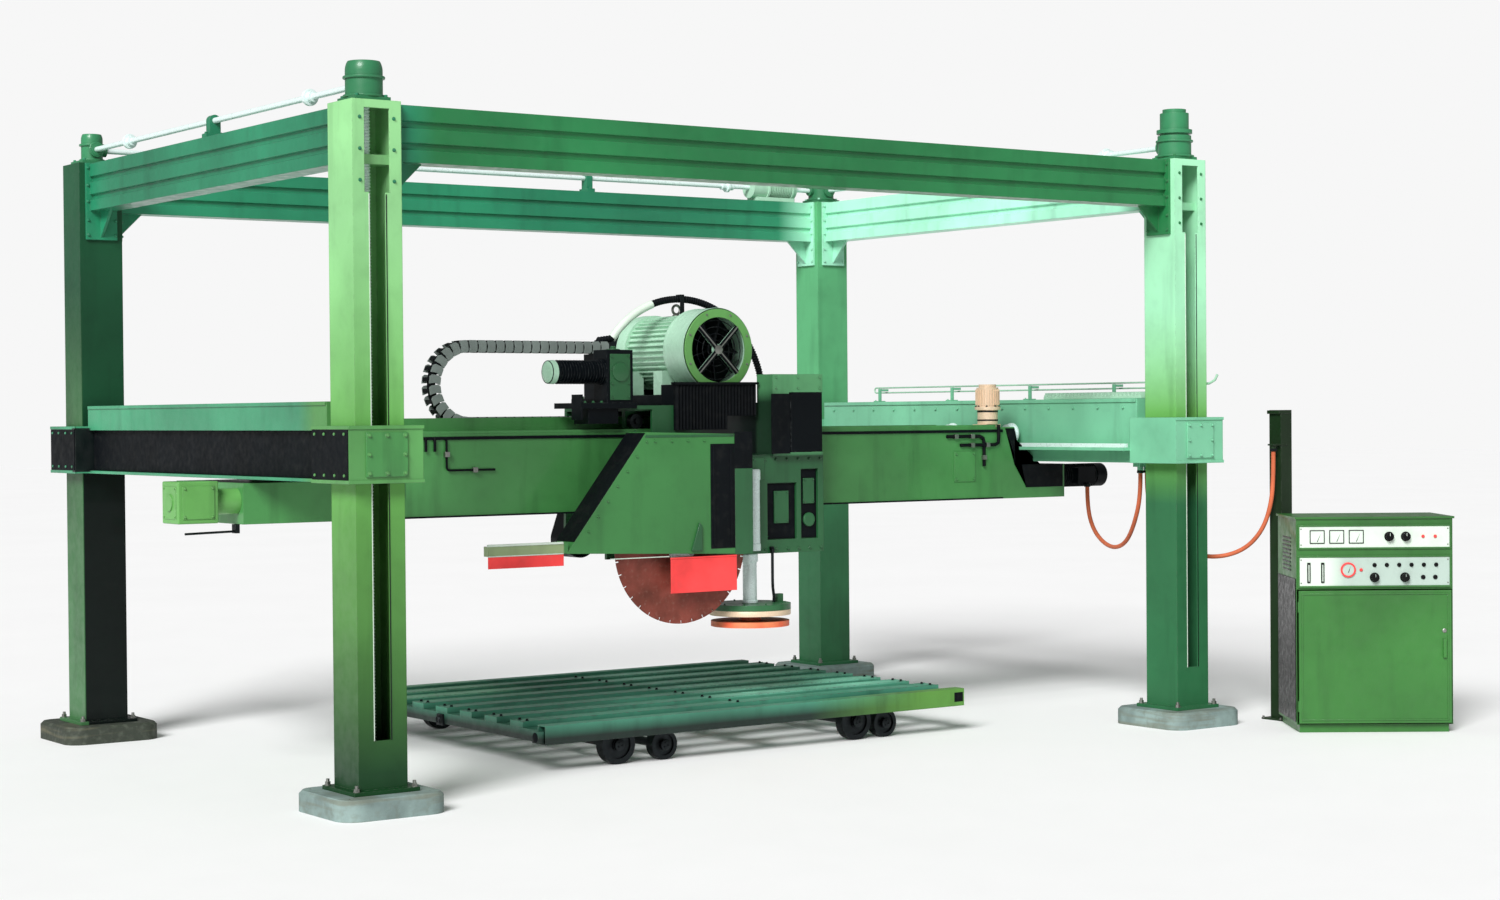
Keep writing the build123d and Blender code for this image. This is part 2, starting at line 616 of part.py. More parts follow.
def saw_blade():
    """Disc with a segmented rim and a bore for the spindle."""
    body = rod_y(BLADE_X, BLADE_Y - 3.5, BLADE_Y + 3.5, BLADE_Z, BLADE_RADIUS - 12)
    rim = rod_y(BLADE_X, BLADE_Y - 5, BLADE_Y + 5, BLADE_Z, BLADE_RADIUS)
    rim -= rod_y(BLADE_X, BLADE_Y - 6, BLADE_Y + 6, BLADE_Z, BLADE_RADIUS - 13)
    segments = 36
    for i in range(segments):
        angle = 360 * i / segments
        turned = Pos(BLADE_X, BLADE_Y, BLADE_Z) * Rot(0, angle, 0)
        slot = turned * Pos(BLADE_RADIUS - 8, 0, 0) * Box(30, 14, 9)
        rim -= slot
        body -= slot
    body += rim
    return body - rod_y(BLADE_X, BLADE_Y - 10, BLADE_Y + 10, BLADE_Z, SPINDLE_RADIUS - 10)


def blade_spindle():
    """Spindle with blade flanges at the front and a belt pulley at the rear."""
    y0, y1 = -1262, BELT_Y + 80
    body = rod_y(BLADE_X, BLADE_Y - 60, BLADE_Y + 3.5, BLADE_Z, SPINDLE_RADIUS - 10)
    body += rod_y(BLADE_X, BLADE_Y + 3.5, y1, BLADE_Z, SPINDLE_RADIUS)
    body += rod_y(BLADE_X, BLADE_Y + 3.5, BLADE_Y + 30, BLADE_Z, 115)
    body += rod_y(BLADE_X, BLADE_Y - 30, BLADE_Y - 3.5, BLADE_Z, 115)
    nut = Plane((BLADE_X, BLADE_Y - 30, BLADE_Z), z_dir=(0, -1, 0)) * RegularPolygon(46, 6)
    body += extrude(nut, -y0 + BLADE_Y - 30)
    return body + pulley(BLADE_X, BLADE_Z, SPINDLE_PULLEY_RADIUS)


def pulley(x, z, radius):
    """Grooved belt pulley; the belts' inner faces lie just outside the groove bottoms."""
    half = BELT_WIDTH / 2 + 12
    body = rod_y(x, BELT_Y - half, BELT_Y + half, z, radius - 8)
    for y in (BELT_Y - half + 6, BELT_Y - 24, BELT_Y, BELT_Y + 24, BELT_Y + half - 6):
        body += rod_y(x, y - 5, y + 5, z, radius)
    return body


def motor_rotor():
    body = rod_y(MOTOR_X, -690, BELT_Y + 90, MOTOR_Z, MOTOR_SHAFT_RADIUS)
    return body + pulley(MOTOR_X, MOTOR_Z, MOTOR_PULLEY_RADIUS)


def belt_loop(y, width, thickness):
    """One belt round both pulleys, clear of them by a running gap."""
    inner = hull_outline(MOTOR_PULLEY_RADIUS + 1, SPINDLE_PULLEY_RADIUS + 1)
    outer = hull_outline(MOTOR_PULLEY_RADIUS + 1 + thickness, SPINDLE_PULLEY_RADIUS + 1 + thickness)
    return slab_xz(outer - inner, y - width / 2, y + width / 2)


def hull_outline(top_radius, bottom_radius):
    """Face bounded by a circle round each pulley centre and their outer tangents, in (x, z)."""
    dx, dz = BLADE_X - MOTOR_X, BLADE_Z - MOTOR_Z
    span = math.hypot(dx, dz)
    along = math.atan2(dz, dx)
    lean = math.acos((top_radius - bottom_radius) / span)
    corners = []
    for sign in SIGNS:
        angle = along + sign * lean
        ends = [(MOTOR_X + top_radius * math.cos(angle), MOTOR_Z + top_radius * math.sin(angle)),
                (BLADE_X + bottom_radius * math.cos(angle), BLADE_Z + bottom_radius * math.sin(angle))]
        corners += ends if sign < 0 else ends[::-1]
    web = make_face(Polyline(*corners, close=True))
    return web + Pos(MOTOR_X, MOTOR_Z) * Circle(top_radius) + Pos(BLADE_X, BLADE_Z) * Circle(bottom_radius)


def slab_xz(face, y0, y1):
    return Pos(0, y1, 0) * extrude(Plane.XZ * face, y1 - y0, dir=(0, -1, 0))


def drive_belts():
    return [belt_loop(BELT_Y + offset, 13, 9) for offset in (-36, -12, 12, 36)]


def belt_guard():
    """Sheet guard over the belts, open towards the rear apron, on two stand-off legs."""
    y0, y1 = APRON_REAR + 60, BELT_Y + 110
    shell = slab_xz(hull_outline(GUARD_TOP_RADIUS, GUARD_LOW_RADIUS), y0, y1)
    shell -= slab_xz(hull_outline(GUARD_TOP_RADIUS - GUARD_SHEET, GUARD_LOW_RADIUS - GUARD_SHEET),
                     y0 - 1, y1 - GUARD_SHEET)
    legs = [block(x, x + 80, APRON_REAR, y0 + 25, 2080, 2200) for x in (-425, 20)]
    return fuse([shell, *legs])


def main_motor():
    """Finned main motor, its feet, end shield and fan cowl with an open spoked end."""
    y0, y1 = -800, 150
    body = rod_y(MOTOR_X, -560, y1, MOTOR_Z, MOTOR_RADIUS - 25)
    fins = 40
    for i in range(fins):
        fin = Rot(0, 360 * i / fins, 0) * Box(2 * MOTOR_RADIUS, 560, 9)
        body += Pos(MOTOR_X, -250, MOTOR_Z) * fin
    body += rod_y(MOTOR_X, y1 - 110, y1, MOTOR_Z, MOTOR_RADIUS + 12)
    cowl = rod_y(MOTOR_X, y0, -530, MOTOR_Z, 310)
    cowl -= rod_y(MOTOR_X, y0 - 1, -570, MOTOR_Z, 296)
    ring = rod_y(MOTOR_X, y0, y0 + 24, MOTOR_Z, 310) - rod_y(MOTOR_X, y0 - 1, y0 + 25, MOTOR_Z, 245)
    spokes = [Pos(MOTOR_X, y0 + 15, MOTOR_Z) * Rot(0, angle, 0) * Box(510, 14, 22) for angle in (45, 135)]
    hub = rod_y(MOTOR_X, y0 + 6, y0 + 24, MOTOR_Z, 42)
    body = fuse([body, cowl, ring, hub, *spokes])
    for s in SIGNS:
        x = MOTOR_X + s * MOTOR_FOOT_OFFSET
        body += block(x - 55, x + 55, -480, -360, MOTOR_FOOT_Z, MOTOR_Z - 150)
        body += block(x - 55, x + 55, -60, 60, MOTOR_FOOT_Z, MOTOR_Z - 150)
    body += block(MOTOR_X + 215, MOTOR_X + 350, -330, -110, MOTOR_Z - 60, MOTOR_Z + 110)
    return body - rod_y(MOTOR_X, -720, y1 + 1, MOTOR_Z, MOTOR_SHAFT_RADIUS + FIT)


def carriage_drive():
    """Travel gearmotor of the carriage: motor along X on an upright gearbox and bracket."""
    y = GIRDER_FRONT
    body = rod_x(-1240, -860, y, CARRIAGE_MOTOR_Z, 75)
    body += rod_x(-1300, -1230, y, CARRIAGE_MOTOR_Z, 82)
    body += rod_x(-880, -850, y, CARRIAGE_MOTOR_Z, 92)
    body += block(-860, -640, y - 90, y + 90, 2490, 2880)
    body += block(-1090, -620, y - 110, y + 260, SADDLE_TOP - 20, SADDLE_TOP + 20)
    body += block(-1090, -1075, y - 110, y + 20, 2380, 2560)
    body += block(-1010, -760, y - 80, y + 120, 2350, 2465)
    body += block(-700, -560, CHAIN_Y - 80, CHAIN_Y + 80, 2490, CHAIN_TOP_Z - 48)
    body += block(-860, -560, y + 80, CHAIN_Y, 2490, 2530)
    return body


# ---------------------------------------------------------------- drag chain

def chain_bend():
    """Half-round end of the drag chain, which follows the carriage at half its speed."""
    outer = CHAIN_BEND_RADIUS + CHAIN_HEIGHT / 2
    inner = CHAIN_BEND_RADIUS - CHAIN_HEIGHT / 2
    z = CHAIN_TOP_Z - CHAIN_BEND_RADIUS
    ring = rod_y(CHAIN_BEND_X, CHAIN_Y - CHAIN_WIDTH / 2, CHAIN_Y + CHAIN_WIDTH / 2, z, outer)
    ring -= rod_y(CHAIN_BEND_X, CHAIN_Y - 100, CHAIN_Y + 100, z, inner)
    keep = block(CHAIN_BEND_X - 400, CHAIN_BEND_X, CHAIN_Y - 100, CHAIN_Y + 100, GIRDER_TOP + 115, 3100)
    return ring & keep


def chain_run():
    """Upper run of the chain, from the bend to the bracket on the carriage."""
    half = CHAIN_WIDTH / 2
    return block(CHAIN_BEND_X + GAP, CHAIN_END_X, CHAIN_Y - half, CHAIN_Y + half,
                 CHAIN_TOP_Z - CHAIN_HEIGHT / 2, CHAIN_TOP_Z + CHAIN_HEIGHT / 2)


# ---------------------------------------------------------------- horizontal saw unit

def horizontal_head():
    """Box of the horizontal saw, the quill sleeve under it and the blade guard on the sleeve."""
    y0, y1 = -1050, -960
    body = block(170, 950, y0, y1, UNIT_BOTTOM, UNIT_TOP)
    body -= block(430, 700, y0 - 1, y0 + 30, 1480, 1900)
    body -= block(740, 900, y0 - 1, y0 + 30, 1480, 2000)
    guide = block(360, 900, y1 - 1, UNIT_SLIDE_Y, 1420, 2090)
    sleeve = rod_z(QUILL_X, QUILL_Y, 1010, 1390, QUILL_RADIUS)
    guard = rod_z(QUILL_X, QUILL_Y, 975, 1018, FLAT_BLADE_RADIUS + 12)
    guard -= rod_z(QUILL_X, QUILL_Y, 974, 1006, FLAT_BLADE_RADIUS)
    lug = block(540, 590, QUILL_Y - 20, QUILL_Y + 20, 1010, 1075)
    body = fuse([body, guide, sleeve, guard, lug])
    body += block(450, 910, -1100, -1085, 2570, 2705) + block(450, 910, -1100, UNIT_SLIDE_Y, 2690, 2705)
    body += block(450, 465, -1100, UNIT_SLIDE_Y, UNIT_TOP, 2705)
    body += block(450, 600, -1100, -1085, UNIT_TOP, 2705)
    body += block(450, 910, -1100, -960, 2100, 2125)
    body -= rod_z(QUILL_X, QUILL_Y, 960, QUILL_SPINDLE_TOP + 10, QUILL_SPINDLE_RADIUS + FIT)
    return body


def horizontal_motor():
    """Upright finned motor of the horizontal blade, standing on the box."""
    x, y = UNIT_MOTOR_X, -1012
    body = rod_z(x, y, 2125, 2560, 100)
    for i in range(24):
        body += Pos(x, y, 2340) * Rot(0, 0, 360 * i / 24) * Box(222, 7, 330)
    body += rod_z(x, y, 2520, 2600, 110)
    return body & block(x - 200, x + 200, y - 72, UNIT_SLIDE_Y, 2100, 2700)


def horizontal_blade():
    """Flat disc, its red rim and its short spindle."""
    disc = rod_z(QUILL_X, QUILL_Y, FLAT_BLADE_TOP - 10, FLAT_BLADE_TOP, FLAT_BLADE_RADIUS - 8)
    rim = rod_z(QUILL_X, QUILL_Y, FLAT_BLADE_TOP - 40, FLAT_BLADE_TOP, FLAT_BLADE_RADIUS)
    rim -= rod_z(QUILL_X, QUILL_Y, FLAT_BLADE_TOP - 41, FLAT_BLADE_TOP + 1, FLAT_BLADE_RADIUS - 14)
    flange = rod_z(QUILL_X, QUILL_Y, FLAT_BLADE_TOP - 34, FLAT_BLADE_TOP + 30, 80)
    spindle = rod_z(QUILL_X, QUILL_Y, FLAT_BLADE_TOP, QUILL_SPINDLE_TOP, QUILL_SPINDLE_RADIUS)
    return fuse([disc, rim, flange, spindle])


# ---------------------------------------------------------------- trolley

def trolley_frame():
    """Side tubes open at their ends, cross beams between them, axle hangers and buffers."""
    bars = []
    cross_top = DECK_TOP - DECK_BEAM_THICKNESS
    for y in (DECK_FRONT, DECK_REAR - SIDE_TUBE_WIDTH):
        tube = block(DECK_LEFT, DECK_RIGHT, y, y + SIDE_TUBE_WIDTH, DECK_TOP - 130, DECK_TOP)
        bars.append(tube - block(DECK_LEFT - 1, DECK_RIGHT + 1, y + 8, y + SIDE_TUBE_WIDTH - 8,
                                 DECK_TOP - 122, DECK_TOP - 8))
    for x in (DECK_LEFT, -60, DECK_RIGHT - 110):
        bars.append(block(x, x + 110, DECK_FRONT + SIDE_TUBE_WIDTH, DECK_REAR - SIDE_TUBE_WIDTH,
                          DECK_TOP - 120, cross_top))
    for x, radius in TROLLEY_AXLES:
        for y in (TROLLEY_TRACK[0] + 90, TROLLEY_TRACK[1] - 90):
            hanger = block(x - 50, x + 50, y - 20, y + 20, radius - 45, cross_top - 20)
            hanger += block(x - 90, x + 90, y - 30, y + 30, cross_top - 20, cross_top)
            bars.append(hanger - rod_y(x, y - 50, y + 50, radius, TROLLEY_AXLE_RADIUS + FIT))
    for y in (DECK_FRONT + 20, DECK_REAR - 110):
        bars.append(block(DECK_LEFT - 45, DECK_LEFT, y, y + 80, DECK_TOP - 120, DECK_TOP - 40))
    return bars


def trolley_deck():
    """Flat beams along X, bolted on the cross beams."""
    first = DECK_FRONT + SIDE_TUBE_WIDTH + DECK_BEAM_GAP
    last = DECK_REAR - SIDE_TUBE_WIDTH - DECK_BEAM_GAP - DECK_BEAM_WIDTH
    pitch = (last - first) / (DECK_BEAMS - 1)
    return [block(DECK_LEFT, DECK_RIGHT, first + i * pitch, first + i * pitch + DECK_BEAM_WIDTH,
                  DECK_TOP - DECK_BEAM_THICKNESS, DECK_TOP) for i in range(DECK_BEAMS)]


def trolley_wheelset(x, radius):
    """Axle with two flanged wheels pressed on it."""
    body = rod_y(x, TROLLEY_TRACK[0] - 50, TROLLEY_TRACK[1] + 50, radius, TROLLEY_AXLE_RADIUS)
    for y in TROLLEY_TRACK:
        inner = y + math.copysign(1, -y) * 44
        body += rod_y(x, y - 40, y + 40, radius, radius)
        body += rod_y(x, *sorted((inner, inner + math.copysign(10, -y))), radius, radius - 12)
        for y0, y1 in ((y - 41, y - 26), (y + 26, y + 41)):
            hub = rod_y(x, y0 - 1, y1 + 1, radius, radius * 0.34)
            body -= rod_y(x, y0, y1, radius, radius * 0.72) - hub
    return body


# ---------------------------------------------------------------- control cabinet

def at_cabinet(shape):
    """Place a shape drawn with X across the cabinet's front, Y into its depth."""
    return Pos(CABINET_CORNER[0], CABINET_CORNER[1], 0) * Rot(0, 0, CABINET_ANGLE) * shape


def cabinet_case():
    wall = 4
    body = block(0, CABINET_WIDTH, 0, CABINET_DEPTH, 60, CABINET_HEIGHT)
    body -= block(wall, CABINET_WIDTH - wall, -1, CABINET_DEPTH - wall, 60 + wall, DOOR_TOP + 8)
    body -= block(wall, CABINET_WIDTH - wall, wall, CABINET_DEPTH - wall, DOOR_TOP + 8 + wall,
                  CABINET_HEIGHT - wall)
    body += block(25, CABINET_WIDTH - 25, 25, CABINET_DEPTH - 25, 0, 62)
    body += block(-12, CABINET_WIDTH + 12, -12, CABINET_DEPTH + 12, CABINET_HEIGHT - 6,
                  CABINET_HEIGHT + 10)
    for z0, z1 in PANEL_HEIGHTS:
        body -= block(30, CABINET_WIDTH - 30, -1, wall + 1, z0 + 5, z1 - 5)
    return at_cabinet(body)


def control_panels():
    """The two pale instrument plates, bored for the knobs."""
    plates = []
    for z0, z1 in PANEL_HEIGHTS:
        plate = block(22, CABINET_WIDTH - 22, -5, 0, z0, z1)
        for x, z in KNOBS:
            plate -= rod_y(x, -20, 20, z, 6 + FIT)
        plates.append(at_cabinet(plate))
    return plates


def knob(x, z):
    """Fluted rotary knob with its shaft."""
    body = rod_y(x, -45, -7, z, 30)
    for i in range(12):
        angle = math.radians(360 * i / 12)
        body -= rod_y(x + 32 * math.cos(angle), -50, -16, z + 32 * math.sin(angle), 5)
    body += rod_y(x, -10, -6, z, 36)
    return at_cabinet(body + rod_y(x, -8, 60, z, 6))


def cabinet_door():
    """Door under the instrument plates, with a return edge, a handle and its hinge barrels."""
    outer = block(14, CABINET_WIDTH - 14, -22, -3, 72, DOOR_TOP)
    outer -= block(17, CABINET_WIDTH - 17, -19, -2, 75, DOOR_TOP - 3)
    handle = block(CABINET_WIDTH - 80, CABINET_WIDTH - 56, -44, -32, 560, 700)
    for z in (566, 682):
        handle += block(CABINET_WIDTH - 76, CABINET_WIDTH - 60, -36, -21, z, z + 12)
    barrels = [rod_z(14, -14, z, z + 80, 7) for z in (160, 900)]
    return at_cabinet(fuse([outer, handle, *barrels]))


def cable_post():
    """Square cable post behind the cabinet, with the bracket that holds the hose's gland."""
    half = POST_SIZE / 2
    body = block(POST_X - half, POST_X + half, POST_Y - half, POST_Y + half, 0, POST_TOP)
    body -= block(POST_X - half + 5, POST_X + half - 5, POST_Y - half + 5, POST_Y + half - 5,
                  12, POST_TOP + 1)
    body += block(POST_X - 110, POST_X + 110, POST_Y - 110, POST_Y + 110, 0, 14)
    x, y = HOSE_END[0], HOSE_END[1]
    body += block(x - 30, POST_X, y - 30, y + 30, HOSE_END[2] + 45, HOSE_END[2] + 57)
    body += rod_z(x, y, HOSE_END[2], HOSE_END[2] + 50, GLAND_RADIUS)
    return body


# ---------------------------------------------------------------- hoses

def hose(points, name):
    """Straight runs joined by tangent arcs, each as large as its two runs allow."""
    runs = [Vector(*b) - Vector(*a) for a, b in zip(points, points[1:])]
    radii = []
    for before, after in zip(runs, runs[1:]):
        turn = math.radians(before.get_angle(after))
        radii.append(0.45 * min(before.length, after.length) / math.tan(turn / 2))
    path = FilletPolyline(*points, radius=radii)
    section = Plane(points[0], z_dir=runs[0].normalized()) * Circle(HOSE_DIAMETER / 2)
    tube = sweep(section, path=path)
    expected = math.pi * (HOSE_DIAMETER / 2) ** 2 * path.length
    print(name, "length", round(path.length), "radii", [round(r) for r in radii],
          "volume ratio", round(tube.volume / expected, 4))
    return tube


def hose_clip():
    """Gland block under the right side beam that holds both hoses' ends."""
    body = block(3390, 3540, -1920, -1840, 1975, COLLAR_BOTTOM)
    for x, y, z in (BRIDGE_HOSE[-1], SUPPLY_HOSE[0]):
        body += rod_z(x, y, z, z + 55, GLAND_RADIUS)
    return body


def bridge_gland():
    x, y, z = BRIDGE_HOSE[0]
    return rod_z(x, y, z, z + 35, GLAND_RADIUS)


os.makedirs("parts", exist_ok=True)

CORNERS = {"front_left": (-1, -1), "front_right": (1, -1), "rear_left": (-1, 1), "rear_right": (1, 1)}
feet = [(sx * COLUMN_X, sy * COLUMN_Y) for sx, sy in CORNERS.values()]
save("foot_plinths", *[foot_plinth(x, y) for x, y in feet])
save("anchor_bolts", *anchor_bolts())
save("columns", *[column(x, y, math.copysign(1, y)) for x, y in feet])
save("top_beam_front", *top_beam_x(-COLUMN_Y))
save("top_beam_rear", *top_beam_x(COLUMN_Y), *[pillow_block_x(x, COLUMN_Y) for x in (-950, 940)])
side_beams = [solid for x in (-COLUMN_X, COLUMN_X) for solid in (*top_beam_y(x), pillow_block_y(x, 0))]
save("top_side_beams", *side_beams)
save("lift_gearboxes", gearbox(-COLUMN_X, -COLUMN_Y, 115, 4577, "dome"),
     gearbox(COLUMN_X, -COLUMN_Y, 128, 4722, "tall"), gearbox(-COLUMN_X, COLUMN_Y, 80, 4560, "dome"),
     gearbox(COLUMN_X, COLUMN_Y, 115, 4540, "dome"))
save("lift_motor", lift_motor())

for corner, (sx, sy) in CORNERS.items():
    save(f"lift_screw_{corner}", lift_screw(sx * COLUMN_X, sy * COLUMN_Y))
save("line_shaft_rear", line_shaft_x(COLUMN_Y))
save("line_shaft_left", line_shaft_y(-COLUMN_X))
save("line_shaft_right", line_shaft_y(COLUMN_X))

save("lift_frame_left", lift_frame_side(-1))
save("lift_frame_right", fuse([lift_frame_side(1), hose_clip()]))
save("side_aprons", *side_aprons())
save("bridge_rails", *bridge_rails())
save("lift_nuts", *lift_nuts())

save("bridge_girder", girder())
save("bridge_gearbox", travel_gearbox())
save("bridge_motor", fuse([bridge_motor(), bridge_gland()]))
save("coolant_pump", coolant_pump())
save("bridge_drive_shaft", bridge_drive_shaft())
save("bridge_idler_left", bridge_idler(-1))
save("bridge_idler_right", bridge_idler(1))

save("saddle", saddle())
save("blade_hood", blade_hood())
save("blade_flap", blade_flap())
save("main_motor", main_motor())
save("motor_rotor", motor_rotor())
save("drive_belts", *drive_belts())
save("belt_guard", belt_guard())
save("blade_spindle", blade_spindle())
save("saw_blade", saw_blade())
save("carriage_drive", carriage_drive())
save("carriage_wheels_left", *carriage_wheels(WHEELSET_LEFT_X))
save("carriage_wheels_right", *carriage_wheels(WHEELSET_RIGHT_X))
save("chain_bend", chain_bend())
save("chain_run", chain_run())
save("horizontal_head", horizontal_head())
save("horizontal_motor", horizontal_motor())
save("horizontal_blade", horizontal_blade())

save("trolley_frame", *trolley_frame())
save("trolley_deck", *trolley_deck())
for number, (x, radius) in enumerate(TROLLEY_AXLES, start=1):
    save(f"trolley_wheelset_{number}", trolley_wheelset(x, radius))

save("cabinet_case", cabinet_case())
save("control_panels", *control_panels())
save("cabinet_door", cabinet_door())
for number, (x, z) in enumerate(KNOBS, start=1):
    save(f"rotary_knob_{number}", knob(x, z))
save("cable_post", cable_post())
save("bridge_hose", hose(BRIDGE_HOSE, "bridge_hose"))
save("supply_hose", hose(SUPPLY_HOSE, "supply_hose"))
print(len(written), "nodes")
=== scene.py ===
import json
import math

import bmesh
import bpy
from mathutils import Matrix, Vector


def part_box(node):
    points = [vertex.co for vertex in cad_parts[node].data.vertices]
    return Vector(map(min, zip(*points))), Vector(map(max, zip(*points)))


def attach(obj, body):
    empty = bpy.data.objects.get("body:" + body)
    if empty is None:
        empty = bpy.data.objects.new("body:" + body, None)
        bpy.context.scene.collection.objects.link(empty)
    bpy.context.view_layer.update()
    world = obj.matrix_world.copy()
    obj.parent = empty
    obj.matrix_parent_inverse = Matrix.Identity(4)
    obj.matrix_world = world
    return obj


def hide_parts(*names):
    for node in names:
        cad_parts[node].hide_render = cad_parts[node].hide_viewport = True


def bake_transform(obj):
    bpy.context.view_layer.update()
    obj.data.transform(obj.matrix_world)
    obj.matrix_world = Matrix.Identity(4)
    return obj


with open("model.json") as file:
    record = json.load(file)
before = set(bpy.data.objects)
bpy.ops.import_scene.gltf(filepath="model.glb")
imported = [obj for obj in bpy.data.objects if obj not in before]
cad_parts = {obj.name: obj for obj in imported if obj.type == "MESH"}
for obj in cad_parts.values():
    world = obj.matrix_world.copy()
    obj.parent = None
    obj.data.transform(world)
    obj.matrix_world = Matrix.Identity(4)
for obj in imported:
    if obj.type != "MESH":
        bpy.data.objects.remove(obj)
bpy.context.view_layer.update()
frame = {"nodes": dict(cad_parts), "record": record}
RECORD = frame["record"]

CORNERS = ("front_left", "front_right", "rear_left", "rear_right")
X, Y, Z = Vector((1, 0, 0)), Vector((0, 1, 0)), Vector((0, 0, 1))


def middle(node):
    """Centre of a CAD piece's box."""
    low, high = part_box(node)
    return (low + high) / 2


def spread(first, last, count):
    """Evenly spaced values from first to last."""
    return [first + (last - first) * i / (count - 1) for i in range(count)]


def circle(centre, across, other, radius, count, start=0.0):
    """Points evenly spaced on a circle in the plane of across and other."""
    angles = [start + 2 * math.pi * i / count for i in range(count)]
    return [Vector(centre) + radius * (across * math.cos(a) + other * math.sin(a)) for a in angles]


def ring_of(centre, along, radius, count, start=0.0):
    """Points evenly spaced on a circle whose axis is along."""
    along = Vector(along).normalized()
    across = along.orthogonal().normalized()
    return circle(centre, across, along.cross(across), radius, count, start)


def hoop(centre, across, other, radius, count):
    """A circle's points, with the first one again at the end."""
    points = circle(centre, across, other, radius, count)
    return points + points[:1]


# ------------------------------------------------------------------ camera

CAMERA_AT = Vector((-10.4876, -16.133, 2.4084))
CAMERA_YAW = 0.6198
CAMERA_PITCH = -0.0141
CAMERA_ROLL = -0.0081
CAMERA_LENS = 60.47
CAMERA_REACH = 200


def make_camera():
    """Camera that sees the machine from its front left, at eye height."""
    ahead = Vector((math.sin(CAMERA_YAW) * math.cos(CAMERA_PITCH),
                    math.cos(CAMERA_YAW) * math.cos(CAMERA_PITCH), math.sin(CAMERA_PITCH)))
    level = Vector((math.cos(CAMERA_YAW), -math.sin(CAMERA_YAW), 0))
    upright = level.cross(ahead)
    right = level * math.cos(CAMERA_ROLL) + upright * math.sin(CAMERA_ROLL)
    up = upright * math.cos(CAMERA_ROLL) - level * math.sin(CAMERA_ROLL)
    data = bpy.data.cameras.new("camera")
    data.sensor_width = 36
    data.lens = CAMERA_LENS
    data.clip_end = CAMERA_REACH
    camera = bpy.data.objects.new("camera", data)
    bpy.context.scene.collection.objects.link(camera)
    turn = Matrix((right, up, -ahead)).transposed()
    camera.matrix_world = Matrix.Translation(CAMERA_AT) @ turn.to_4x4()
    bpy.context.scene.camera = camera


make_camera()


# ------------------------------------------------------------------ materials

def srgb(red, green, blue):
    """Linear colour from screen values of 0 to 255."""
    def linear(value):
        value /= 255
        return value / 12.92 if value <= 0.04045 else ((value + 0.055) / 1.055) ** 2.4
    return (linear(red), linear(green), linear(blue), 1)


def shade(colour, factor):
    """The same colour, darker or lighter."""
    return tuple(min(1, channel * factor) for channel in colour[:3]) + (1,)


